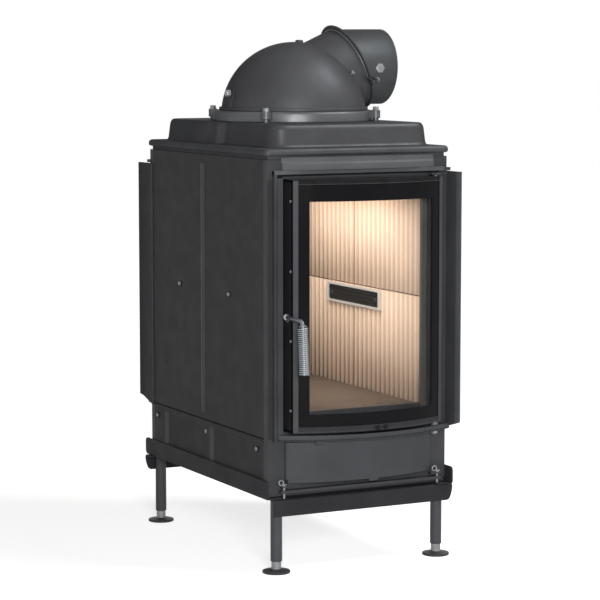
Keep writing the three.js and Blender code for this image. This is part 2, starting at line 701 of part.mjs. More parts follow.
  // handle: shaft through the bay wall, latch cam inside, rod that runs forward and hangs down
  const rodX = -leafHalf - rodOut;
  const gripY = face - gripReach;
  const dropEnd = new THREE.Vector3(rodX, gripY - gripLean, gripBottom - 9);
  const corner = new THREE.Vector3(rodX, gripY + 1, handleZ);
  const drop = dropEnd.clone().sub(corner).normalize();
  const bendIn = corner.clone().add(new THREE.Vector3(0, rodBend, 0));
  const bendOut = corner.clone().addScaledVector(drop, rodBend);
  const elbow = new THREE.QuadraticBezierCurve3(bendIn, corner, bendOut);
  const rodPoints = [new THREE.Vector3(rodX, handleY, handleZ)];
  for (let i = 0; i <= 5; i += 1) {
    rodPoints.push(elbow.getPoint(i / 5));
  }
  rodPoints.push(dropEnd);
  const rod = sweepAlong(rodPoints, handleRod, 10);
  const camProfile = [];
  for (let a = 0; a <= 6; a += 1) {
    const angle = THREE.MathUtils.degToRad(-5 - a * 10);
    camProfile.push([handleY + camReach * Math.cos(angle), handleZ + camReach * Math.sin(angle)]);
  }
  camProfile.push([handleY - 3, handleZ - 10], [handleY - 9, handleZ], [handleY - 3, handleZ + 9],
    [handleY + 5, handleZ + 8]);
  const handle = join(rod,
    bar([-leafHalf - hubLong, handleY, handleZ], [-leafHalf - seatGap, handleY, handleZ], hubRadius, 16),
    bar([-leafHalf - capLong, handleY, handleZ], [-leafHalf - hubLong + 1, handleY, handleZ], capRadius, 12),
    bar([-leafHalf - nutLong, handleY, handleZ], [-leafHalf - capLong + 1, handleY, handleZ], nutRadius, 6),
    bar([-leafHalf - 1, handleY, handleZ], [camInner + camThick, handleY, handleZ], handleShaft, 12),
    prismX(camProfile.reverse(), camInner, camInner + camThick),
    // stops at both ends of the spring
    springStop(bendOut, drop, gripTop + springWire + 2.6, handleRod + 4.5),
    springStop(bendOut, drop, gripBottom - springWire - 2.6, handleRod + 4.5));
  group.add(piece(`${side}_handle`, handle, 'steel'));

  // cool grip: one coiled wire round the hanging rod
  const along = (z) => bendOut.clone().addScaledVector(drop, (z - bendOut.z) / drop.z);
  group.add(piece(`${side}_grip_spring`,
    coil(along(gripTop), along(gripBottom), springMean, springWire, springTurns), 'steel'));
  return group;
}

// round bar swept through points, mitred at each
function sweepAlong(points, radius, sides) {
  const rings = points.map((p, i) => {
    const before = points[Math.max(0, i - 1)];
    const after = points[Math.min(points.length - 1, i + 1)];
    const way = after.clone().sub(before).normalize();
    const level = new THREE.Vector3(1, 0, 0);
    const up = new THREE.Vector3().crossVectors(way, level).normalize();
    return Array.from({ length: sides }, (_, k) => {
      const angle = 2 * Math.PI * k / sides;
      return p.clone().addScaledVector(level, radius * Math.cos(angle))
        .addScaledVector(up, radius * Math.sin(angle));
    });
  });
  return stacked(rings);
}

function springStop(origin, direction, z, radius) {
  const centre = origin.clone().addScaledVector(direction, (z - origin.z) / direction.z);
  const a = centre.clone().addScaledVector(direction, -2);
  const b = centre.clone().addScaledVector(direction, 2);
  return bar(a.toArray(), b.toArray(), radius, 12);
}

// helical wire between two points, 8 steps of 5 sides a turn, straight for one wire
// diameter at each end; its least gap to itself is measured on its points and printed
function coil(start, finish, mean, wire, turns) {
  const length = start.distanceTo(finish);
  const axis = finish.clone().sub(start).normalize();
  const side = new THREE.Vector3(1, 0, 0);
  const other = new THREE.Vector3().crossVectors(axis, side).normalize();
  const steps = 8;
  const sides = 5;
  const rise = length / turns;
  const path = [];
  const point = (turn) => start.clone().addScaledVector(axis, rise * turn)
    .addScaledVector(side, mean * Math.cos(2 * Math.PI * turn))
    .addScaledVector(other, mean * Math.sin(2 * Math.PI * turn));
  for (let i = 0; i <= turns * steps; i += 1) {
    path.push(point(i / steps));
  }
  const lead = path[1].clone().sub(path[0]).normalize();
  const tail = path[path.length - 1].clone().sub(path[path.length - 2]).normalize();
  path.unshift(path[0].clone().addScaledVector(lead, -2 * wire));
  path.push(path[path.length - 1].clone().addScaledVector(tail, 2 * wire));
  const rings = path.map((p, i) => {
    const before = path[Math.max(0, i - 1)];
    const after = path[Math.min(path.length - 1, i + 1)];
    const way = after.clone().sub(before).normalize();
    const across = axis.clone().addScaledVector(way, -axis.dot(way)).normalize();
    const out = new THREE.Vector3().crossVectors(way, across);
    return Array.from({ length: sides }, (_, k) => {
      const angle = 2 * Math.PI * k / sides;
      return p.clone().addScaledVector(across, wire * Math.cos(angle))
        .addScaledVector(out, wire * Math.sin(angle));
    });
  });
  let gap = Infinity;
  for (let i = 0; i < rings.length; i += 1) {
    for (let j = i + steps - 2; j < rings.length; j += 1) {
      for (const a of rings[i]) {
        for (const b of rings[j]) {
          gap = Math.min(gap, a.distanceTo(b));
        }
      }
    }
  }
  console.log(`grip spring: least gap between turns ${gap.toFixed(2)} mm`);
  return stacked(rings);
}

// ---------------------------------------------------------------- whole insert
const insert = new THREE.Group();
insert.name = 'fireplace_insert';
const frontSide = buildSide('front');
const rearSide = buildSide('rear');
rearSide.rotation.z = Math.PI;
insert.add(frontSide, rearSide);

// things that come in a left and a right copy, the right one turned half a turn
function buildFlank(hand) {
  const group = new THREE.Group();
  const wrap = halfD - frameWrap - seatGap;
  const low = trayBottom + trayThick + seatGap;

  // side panel with its bead and two bolts
  const panel = join(
    block(-halfW, -halfW + panelThick, -wrap, wrap, seamZ + 2, frameTop),
    block(-halfW - ribHigh, -halfW + 1, ribY - ribWide / 2, ribY + ribWide / 2, seamZ + ribFoot,
      frameTop - ribDrop),
    ...panelBolts.map((y) => bolt([-halfW + 0.5, y, panelBoltZ], [-1, 0, 0], boltRadius, 6)));
  group.add(piece(`side_panel_${hand}`, panel, 'sheet'));

  // lower side plate with two sunken fields, ribs and bolts
  let lower = block(-halfW, -halfW + panelThick, -wrap, wrap, low, seamZ - 2);
  [[fieldRib + fieldWall, fieldEnd], [-wrap + fieldEdge, fieldRib - fieldWall]].forEach(([y0, y1]) => {
    lower = lower.subtract(block(-halfW - 1, -halfW + 2, y0, y1, low + fieldEdge, seamZ - 12));
  });
  lowerBolts.forEach((y) => {
    lower = lower.add(bolt([-halfW + 2.5, y, seamZ - lowerBoltDrop], [-1, 0, 0], boltRadius, 6));
  });
  group.add(piece(`lower_side_${hand}`, lower, 'sheet'));

  // base rail: angle bar under the casing's edge
  const railOut = -halfW - sideRailWall;
  const corner = sideRailCorner;
  const nick = corner * 0.3;
  const upright = prismX([
    [-sideRailFront, sideRailLow], [sideRailLong - corner, sideRailLow],
    [sideRailLong - nick, sideRailLow + nick], [sideRailLong, sideRailLow + corner],
    [sideRailLong, sideRailHigh - corner], [sideRailLong - nick, sideRailHigh - nick],
    [sideRailLong - corner, sideRailHigh], [-sideRailFront, sideRailHigh]], railOut, -halfW - seatGap);
  const rail = join(upright,
    block(railOut, railOut + sideRailFlange, -sideRailFront, sideRailLong - corner, sideRailLow,
      sideRailLow + railThick))
    .subtract(bar([-screwX[1], screwReach - face, sideRailLow - 1],
      [-screwX[1], screwReach - face, sideRailLow + railThick + 1], screwRadius + 1, 10));
  group.add(piece(`base_rail_${hand}`, rail, 'rail'));

  // cross rail under the side rails, with its two leg tubes welded on
  const railTop = sideRailLow - seatGap;
  const railFace = -legY - legRadius + 0.5 - railThick;
  const upstand = prismY([
    [crossRailLow, -crossRailShort], [railTop, -crossRailShort], [railTop, crossRailLong - 2],
    [railTop - 3, crossRailLong], [railTop - 11, crossRailLong], [crossRailLow + 6, crossRailLong - 7],
    [crossRailLow, crossRailLong - 14]].reverse(), railFace, railFace + railThick);
  let cross = join(upstand,
    block(-crossRailShort, crossRailLong - 2, railFace, railFace + crossRailFlange,
      railTop - railThick, railTop));
  [-legX, legX].forEach((x) => {
    cross = cross.add(turned([[legBore, legBottom], [legRadius, legBottom], [legRadius, railTop - 1],
      [legBore, railTop - 1], [legBore, legBottom]], 16, x, -legY));
  });
  group.add(piece(hand === 'left' ? 'leg_frame_front' : 'leg_frame_rear', cross, 'rail'));

  // fireclay: two by two fluted tiles
  const tileEnd = halfD - framePlate - 1;
  const levels = [['low', hearthLow, tileJointZ - seatGap / 2], ['high', tileJointZ + seatGap / 2, tileTop]];
  levels.forEach(([level, z0, z1]) => {
    [['near', -tileEnd, -tileJointY], ['far', tileJointY, tileEnd]].forEach(([where, y0, y1]) => {
      const outline = [[-fireHalf - tileThick, y0], [-fireHalf - tileThick, y1]];
      const pitch = (y1 - y0) / fluteCount;
      for (let i = 0; i < fluteCount; i += 1) {
        const y = y1 - i * pitch;
        outline.push([-fireHalf, y - 0.12 * pitch], [-fireHalf - fluteDeep, y - 0.5 * pitch],
          [-fireHalf, y - 0.88 * pitch]);
      }
      group.add(piece(`firebrick_${hand}_${where}_${level}`, prismZ(outline.reverse(), z0, z1), 'clay'));
    });
  });

  // air nozzle: a flat grille box on the tiles
  const back = -fireHalf + seatGap;
  const front = back + nozzleProud;
  let nozzle = block(back, front, -nozzleHalf, nozzleHalf, nozzleLow, nozzleHigh);
  nozzle = nozzle.subtract(block(back + 2, front + 1, -nozzleHalf + nozzleRim, nozzleHalf - nozzleRim,
    nozzleLow + nozzleRim, nozzleHigh - nozzleRim));
  [-slatPitch, 0, slatPitch].forEach((rise) => {
    const z = (nozzleLow + nozzleHigh) / 2 + rise;
    nozzle = nozzle.add(block(back + 1, front - 2, -nozzleHalf + nozzleRim - 1, nozzleHalf - nozzleRim + 1,
      z - slatTall / 2, z + slatTall / 2));
  });
  group.add(piece(`air_nozzle_${hand}`, nozzle, 'steel'));
  return group;
}
const leftFlank = buildFlank('left');
const rightFlank = buildFlank('right');
rightFlank.rotation.z = Math.PI;
insert.add(leftFlank, rightFlank);

// casing floor
const trayEdgeX = halfW - 2;
const trayEdgeY = halfD - 1;
insert.add(piece('base_tray', block(-trayEdgeX, trayEdgeX, -trayEdgeY, trayEdgeY,
  trayBottom, trayBottom + trayThick), 'iron'));

// plate under the hearth, carried by the frames' ledges
const plateX = halfW - panelThick - 2;
const plateY = halfD - framePlate - 0.5;
let floorPlate = block(-plateX, plateX, -plateY, plateY, floorPlateLow, floorPlateLow + floorPlateThick);
const hearthY = halfD - framePlate - 1;
let hearth = block(-fireHalf + 1, fireHalf - 1, -hearthY, hearthY, hearthLow, hearthTop);
[-1, 1].forEach((end) => {
  [-slotX, 0, slotX].forEach((x) => {
    const y = end * (halfD - slotShy);
    const slot = block(x - slotLong, x + slotLong, y - slotWide, y + slotWide,
      floorPlateLow - 1, hearthTop + 1);
    hearth = hearth.subtract(slot);
    floorPlate = floorPlate.subtract(slot);
  });
});
insert.add(piece('floor_plate', floorPlate, 'iron'));
insert.add(piece('hearth', hearth, 'hearth'));

// baffle on top of the side walls
insert.add(piece('baffle', block(-fireHalf - tileThick + 2, fireHalf + tileThick - 2,
  -baffleHalfDepth, baffleHalfDepth, tileTop + seatGap, tileTop + seatGap + baffleThick), 'clay'));

// top slab with its recessed step and smoke passage
const slabX = halfW + slabOver;
const slabY = halfD + slabOver;
const slabCorners = [[-slabX, -slabY], [slabX, -slabY], [slabX, slabY], [-slabX, slabY]]
  .map(([x, y]) => [x, y, slabCorner]);
const slabZ = slabLow + slabStep;
const slab = stacked([
  rounded(slabCorners, slabZ, 5), rounded(slabCorners, slabZ + 1.5, 1.5),
  rounded(slabCorners, slabZ + 5, 0), rounded(slabCorners, slabTop - 8, 0),
  rounded(slabCorners, slabTop - 3, 2.2), rounded(slabCorners, slabTop, 8)])
  .add(block(-halfW + 5, halfW - 5, -halfD + 5, halfD - 5, slabLow, slabZ + 1))
  .subtract(block(-fireHalf, fireHalf, -halfD + slabWayShy, halfD - slabWayShy, slabLow - 1, slabTop + 1));
insert.add(piece('top_slab', slab, 'iron'));

// hood: tapered casting with rounded edges, wider on one half of each side
const hx = halfW - hoodInset;
const hy = halfD - hoodInset;
const hoodCorners = [
  [-hx, -hy, hoodCorner], [hx + hoodJog, -hy, hoodCorner], [hx + hoodJog, 14, 8], [hx, 34, 8],
  [hx, hy, hoodCorner], [-hx - hoodJog, hy, hoodCorner], [-hx - hoodJog, -14, 8], [-hx, -34, 8]];
const hoodSkin = (less, low, high) => stacked([
  rounded(hoodCorners, low, less - 6), rounded(hoodCorners, low + 3, less - 2),
  rounded(hoodCorners, low + 8, less), rounded(hoodCorners, high - 14, less + 4),
  rounded(hoodCorners, high - 6, less + 7), rounded(hoodCorners, high - 1.5, less + 10),
  rounded(hoodCorners, high, less + 13)]);
const hoodHollow = stacked([
  rounded(hoodCorners, hoodLow - 1, hoodWall), rounded(hoodCorners, hoodTop - hoodWall - 14, hoodWall + 4),
  rounded(hoodCorners, hoodTop - hoodWall, hoodWall + 9)]);
const hood = hoodSkin(0, hoodLow, hoodTop)
  .subtract(hoodHollow)
  .subtract(bar([0, 0, hoodTop - hoodWall - 2], [0, 0, hoodTop + 2], ringBore, 40));
insert.add(piece('hood', hood, 'iron'));

// flange ring with four bolted lugs
let ring = turned([[ringBore, ringLow], [ringRadius, ringLow], [ringRadius, ringTop - 6],
  [ringRadius - 2, ringTop - 2], [ringRadius - 7, ringTop], [ringBore, ringTop], [ringBore, ringLow]], 36);
const web = (long, wide, z0, z1, angle) => {
  const geometry = new THREE.BoxGeometry(long, wide, z1 - z0);
  geometry.translate(ringRadius + lugReach - long / 2, 0, (z0 + z1) / 2);
  geometry.rotateZ(angle);
  return toSolid(geometry);
};
for (let i = 0; i < 4; i += 1) {
  const angle = Math.PI / 4 + i * Math.PI / 2;
  const lugX = (ringRadius + lugReach) * Math.cos(angle);
  const lugY = (ringRadius + lugReach) * Math.sin(angle);
  ring = join(ring,
    web(lugReach + 6, 2 * lugRadius, ringLow + 7, ringTop, angle),
    bar([lugX, lugY, ringLow + 7], [lugX, lugY, ringTop + 1.5], lugRadius, 12),
    bar([lugX, lugY, ringLow], [lugX, lugY, ringLow + 8], lugBolt - 1, 8),
    bar([lugX, lugY, ringTop], [lugX, lugY, ringTop + 10], lugBolt, 6));
}
insert.add(piece('flange_ring', ring, 'iron'));

// dome with its tilted neck
const domeFoot = ringTop + seatGap;
const sphere = (radius, wide, high) => {
  const geometry = new THREE.SphereGeometry(radius, wide, high);
  geometry.rotateX(Math.PI / 2);
  geometry.translate(0, 0, domeZ);
  return toSolid(geometry);
};
const neckEnd = swivel.clone().toArray();
const neckStart = swivel.clone().addScaledVector(neckAxis, -90).toArray();
const neckPast = swivel.clone().addScaledVector(neckAxis, 2).toArray();
const beyond = domeRadius + outletRun;
const below = block(-beyond, beyond, -beyond, beyond, domeZ - beyond, domeFoot);
const domeOuter = join(sphere(domeRadius, 32, 16), bar(neckStart, neckEnd, neckRadius, 32),
  bar([0, 0, domeFoot], [0, 0, domeFoot + domeFootHigh], domeRadius + domeFootOver, 32));
const domeInner = join(sphere(domeRadius - domeWall, 24, 12),
  bar(neckStart, neckPast, neckRadius - domeWall, 24),
  bar([0, 0, domeFoot - 2], [0, 0, domeFoot + domeFootHigh + 1], domeRadius - domeWall - 1, 32));
const strapBolt = (domeFoot + strapTop) / 2 + 8;
const strap = sphere(domeRadius + strapThick, 32, 16)
  .intersect(block(-domeRadius - 2 * strapThick, -domeRadius / 2,
    strapY - strapWide / 2, strapY + strapWide / 2, domeFoot, strapTop));
const outer = join(domeOuter, strap,
  bolt([-domeRadius + 8, strapY, strapBolt], [-1, 0, 0], 9, 16),
  bar([knobX, 0, domeZ + domeRadius - 6], [knobX, 0, domeZ + domeRadius + 5], knobRadius, 12),
  bolt([swivelX - 38, -neckRadius + 3, swivelZ - 14], [0, -1, 0], 7, 9));
const dome = outer.subtract(domeInner).subtract(below);
insert.add(piece('dome', dome, 'iron'));

// band clamp round the swivel joint: a rounded bead, with the ear and screw that close it
const bandIn = neckRadius + bandPlay;
const bandHalf = bandWide / 2;
const bandOut = bandIn + bandThick;
const bead = turnedAlong([[bandIn, -bandHalf], [bandIn + bandThick / 2, -bandHalf],
  [bandOut, -bandHalf / 2], [bandOut, bandHalf / 2],
  [bandIn + bandThick / 2, bandHalf], [bandIn, bandHalf], [bandIn, -bandHalf]], 32, neckAxis, swivel);
const earWay = new THREE.Vector3(0, -1, 0).applyAxisAngle(neckAxis, earAngle);
const earAt = (out, along) => swivel.clone().addScaledVector(earWay, out).addScaledVector(neckAxis, along)
  .toArray();
const earMiddle = bandOut + earOut;
const band = join(bead,
  bar(earAt(bandIn + bandThick / 2, 0), earAt(earMiddle + earScrew + 2, 0), earRadius, 8),
  bar(earAt(earMiddle, -earReach), earAt(earMiddle, earReach), earScrew, 10),
  bar(earAt(earMiddle, earReach - 6), earAt(earMiddle, earReach + 1), earScrew + 3, 6));
insert.add(piece('swivel_band', band, 'iron'));

// outlet: a round tube that leaves the tilted joint level
const outletAt = (x, radius) => circle(new THREE.Vector3(x, 0, swivelZ), 0, radius, 32);
const jointAt = (ahead, radius) => circle(swivel.clone().addScaledVector(neckAxis, ahead), tilt, radius, 32);
const outletSkin = (less, start, finish) => stacked([
  jointAt(seatGap + start, neckRadius - less), jointAt(6 + start / 2, neckRadius - less),
  outletAt(swivelX + outletBend, outletRadius - less), outletAt(outletEnd + finish, outletRadius - less)]);
const outlet = join(outletSkin(0, 0, 0),
  bolt([swivelX + 42, -outletRadius + 2, swivelZ - 3], [0, -1, 0], 11, 9))
  .subtract(outletSkin(outletWall, -1, 2));
insert.add(piece('flue_outlet', outlet, 'sheet'));

// screw feet in the leg tubes
[['front_left', -legX, -legY], ['front_right', legX, -legY],
  ['rear_right', legX, legY], ['rear_left', -legX, legY]].forEach(([where, x, y]) => {
  insert.add(piece(`foot_${where}`, turned([[0, 0], [footRadius - 1, 0], [footRadius, 1],
    [footRadius, footThick - 1], [footRadius - 3, footThick], [stemRadius + 2, footThick + 2],
    [stemRadius, footThick + 4], [stemRadius, stemTop], [0, stemTop]], 16, x, y), 'rail'));
});

export default insert;
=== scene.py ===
import json
import math
import bpy
import bmesh
from mathutils import Matrix, Vector

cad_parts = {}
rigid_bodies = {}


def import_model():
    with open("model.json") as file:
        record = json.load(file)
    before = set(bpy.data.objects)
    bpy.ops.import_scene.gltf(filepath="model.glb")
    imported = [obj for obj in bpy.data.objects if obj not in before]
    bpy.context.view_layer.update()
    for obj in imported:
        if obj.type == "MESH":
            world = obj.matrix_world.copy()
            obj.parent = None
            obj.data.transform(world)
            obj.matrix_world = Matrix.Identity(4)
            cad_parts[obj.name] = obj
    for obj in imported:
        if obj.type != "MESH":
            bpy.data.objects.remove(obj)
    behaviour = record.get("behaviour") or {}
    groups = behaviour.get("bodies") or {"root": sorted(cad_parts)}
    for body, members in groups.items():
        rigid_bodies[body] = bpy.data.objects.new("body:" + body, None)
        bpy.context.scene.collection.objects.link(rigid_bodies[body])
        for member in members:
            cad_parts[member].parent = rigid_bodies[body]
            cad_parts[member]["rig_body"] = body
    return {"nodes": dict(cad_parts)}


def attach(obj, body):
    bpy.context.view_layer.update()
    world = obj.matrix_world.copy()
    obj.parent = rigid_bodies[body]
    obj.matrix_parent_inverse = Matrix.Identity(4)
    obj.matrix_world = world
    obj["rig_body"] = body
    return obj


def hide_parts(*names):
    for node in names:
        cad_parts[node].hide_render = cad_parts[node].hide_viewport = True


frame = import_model()
nodes = frame["nodes"]
scene = bpy.context.scene
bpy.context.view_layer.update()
print("frame loaded,", len(nodes), "nodes")

# Lengths below are in millimetres, in the frame's own axes: +X right, -Y front, +Z up.
# The rear is built from the front, turned half a turn.


def pick(v, names):
    return [v[name] for name in names.split()]


# ---- shader helpers
def fill(tree, node, inputs):
    # a value is a number, a colour or the output of another node
    for key, value in inputs.items():
        if isinstance(value, bpy.types.NodeSocket):
            tree.links.new(value, node.inputs[key])
        else:
            node.inputs[key].default_value = value


def addNode(tree, kind, inputs=None, output=0, **settings):
    node = tree.nodes.new("ShaderNode" + kind)
    for name, value in settings.items():
        setattr(node, name, value)
    fill(tree, node, inputs or {})
    return node.outputs[output]


def spread(tree, value, low, high, fromLow=0.3, fromHigh=0.7):
    return addNode(tree, "MapRange", {"From Min": fromLow, "From Max": fromHigh, "To Min": low,
                                      "To Max": high, "Value": value}, "Result")


def seenRay(tree):
    # 1 where the camera, a reflection or glass looks, 0 where light is gathered
    rays = tree.nodes.new("ShaderNodeLightPath").outputs
    first = addNode(tree, "Math", {0: rays["Is Camera Ray"], 1: rays["Is Transmission Ray"]},
                    operation="MAXIMUM")
    return addNode(tree, "Math", {0: first, 1: rays["Is Glossy Ray"]}, operation="MAXIMUM")


def newSkin(name):
    mat = bpy.data.materials.new(name)
    mat.use_nodes = True
    tree = mat.node_tree
    return mat, tree, tree.nodes["Principled BSDF"], addNode(tree, "TexCoord", output="Object")


def newObject(name, data):
    obj = bpy.data.objects.new(name, data)
    scene.collection.objects.link(obj)
    return obj


# ---- camera, light and floor
camera = {"place": (-2601.0, -5123.0, 1230.9), "turn": 27.079, "down": 6.221, "lens": 138.1}
lamps = {
    "highLamp": {"place": (1750, -1250, 3600), "size": 1.5, "power": 85, "target": (0, 0, 900)},
    "frontLamp": {"place": (-1900, -4700, 1480), "size": 1.4, "power": 172, "target": (0, 0, 700)},
    "fireLamp": {"place": (0, 0, 880), "size": 0.5, "depth": 0.22, "power": 1.9,
                 "target": (40, 0, 300), "colour": (1.0, 0.94, 0.86)},
    "fireFillLamp": {"place": (-60, -270, 640), "size": 0.1, "depth": 0.3, "power": 0.5,
                     "target": (174, -60, 620), "colour": (1, 0.97, 0.93)},
}
studio = {"worldDiffuse": 0.03, "floorHalf": 14, "floorWhite": 0.76, "floorReach": 4.2,
          "floorFade": 0.6, "floorPaint": (0.9, 0.9, 0.9, 1), "floorRough": 0.9}
white = (1, 1, 1, 1)


def placeCamera(v):
    turn, down = math.radians(v["turn"]), math.radians(v["down"])
    ahead = Vector((math.sin(turn) * math.cos(down), math.cos(turn) * math.cos(down), -math.sin(down)))
    data = bpy.data.cameras.new("camera")
    data.sensor_width = 36
    data.lens = v["lens"]
    data.clip_end = 60
    eye = bpy.data.objects.new("camera", data)
    eye.location = Vector(v["place"]) * 0.001
    eye.rotation_mode = "QUATERNION"
    eye.rotation_quaternion = ahead.to_track_quat("-Z", "Y")
    scene.collection.objects.link(eye)
    scene.camera = eye


def areaLamp(name, v):
    data = bpy.data.lights.new(name, "AREA")
    data.energy = v["power"]
    data.color = v.get("colour", (1, 1, 1))
    data.size = v["size"]
    if "depth" in v:
        data.shape = "RECTANGLE"
        data.size_y = v["depth"]
    lamp = newObject(name, data)
    lamp.location = Vector(v["place"]) * 0.001
    lamp.rotation_mode = "QUATERNION"
    lamp.rotation_quaternion = (Vector(v["target"]) - Vector(v["place"])).to_track_quat("-Z", "Y")


def lightStudio(v):
    world = bpy.data.worlds.new("studio")
    scene.world = world
    world.use_nodes = True
    tree = world.node_tree
    dim = tree.nodes["Background"]
    fill(tree, dim, {"Color": white, "Strength": v["worldDiffuse"]})
    bright = addNode(tree, "Background", {"Color": white, "Strength": 1.0})
    mix = addNode(tree, "MixShader", {0: seenRay(tree), 1: dim.outputs[0], 2: bright})
    fill(tree, tree.nodes["World Output"], {"Surface": mix})
    for name, values in lamps.items():
        areaLamp(name, values)


def layFloor(v):
    mesh = bpy.data.meshes.new("floor")
    r = v["floorHalf"]
    mesh.from_pydata([(-r, -r, 0), (r, -r, 0), (r, r, 0), (-r, r, 0)], [], [(0, 1, 2, 3)])
    mat, tree, base, place = newSkin("paleFloor")
    fill(tree, base, {"Base Color": v["floorPaint"], "Roughness": v["floorRough"],
                      "Specular IOR Level": 0.0})
    # the floor glows for the camera, more with distance, so that only the shadow under the fireplace shows
    near = addNode(tree, "Mapping", {"Scale": (1 / v["floorReach"],) * 3, "Vector": place})
    spot = addNode(tree, "TexGradient", {"Vector": near}, "Fac", gradient_type="SPHERICAL")
    fade = spread(tree, spot, 1.0, v["floorWhite"], 0.0, v["floorFade"])
    level = addNode(tree, "Math", {0: seenRay(tree), 1: fade}, operation="MULTIPLY")
    glow = addNode(tree, "Emission", {"Color": white, "Strength": level})
    both = addNode(tree, "AddShader", {0: base.outputs[0], 1: glow})
    fill(tree, tree.nodes["Material Output"], {"Surface": both})
    mesh.materials.append(mat)
    newObject("floor", mesh)


scene.view_settings.view_transform = "Standard"
placeCamera(camera)
lightStudio(studio)
layFloor(studio)
print("camera, light and floor placed")


# ---- finishes
def noiseNode(tree, source, scale, detail=3.0):
    return addNode(tree, "TexNoise", {"Scale": scale, "Detail": detail, "Roughness": 0.55,
                                      "Vector": source}, "Fac")


def twoTone(tree, value, dark, light):
    ramp = tree.nodes.new("ShaderNodeValToRGB")
    for stop, position, colour in zip(ramp.color_ramp.elements, (0.32, 0.68), (dark, light)):
        stop.position = position
        stop.color = (*colour, 1)
    fill(tree, ramp, {"Fac": value})
    return ramp.outputs["Color"]


def makeFinish(name, own):
    # colour drifts over 'patch', roughness over 'wipe', and 'grain' raises the surface
    v = {**plainFinish, **own}
    mat, tree, shader, place = newSkin(name)
    if "stretch" in v:
        place = addNode(tree, "Mapping", {"Scale": v["stretch"], "Vector": place})
    drift, rough, wander = pick(v, "drift rough roughDrift")
    dark = tuple(c * (1 - drift) for c in v["colour"])
    light = tuple(min(1.0, c * (1 + drift)) for c in v["colour"])
    patch = noiseNode(tree, place, v["patch"], 5.0)
    wipe = noiseNode(tree, place, v["wipe"], 4.0)
    grain = noiseNode(tree, place, v["grain"], 2.0)
    bump = addNode(tree, "Bump", {"Strength": v["bump"], "Distance": v["relief"], "Height": grain})
    fill(tree, shader, {
        "Base Color": twoTone(tree, patch, dark, light),
        "Roughness": spread(tree, wipe, rough - wander, rough + wander),
        "Normal": bump, "Metallic": v["metal"], "Specular IOR Level": v["shine"],
        "Specular Tint": (*(v["edge"],) * 3, 1)})
    return mat


def makeClearGlass(v):
    mat, tree, shader, place = newSkin("clearDoorGlass")
    haze = noiseNode(tree, place, v["haze"])
    fill(tree, shader, {
        "Base Color": twoTone(tree, haze, v["dark"], v["light"]),
        "Alpha": spread(tree, haze, v["smokeLow"], v["smokeHigh"]),
        "Roughness": v["rough"], "Specular IOR Level": v["shine"]})
    return mat


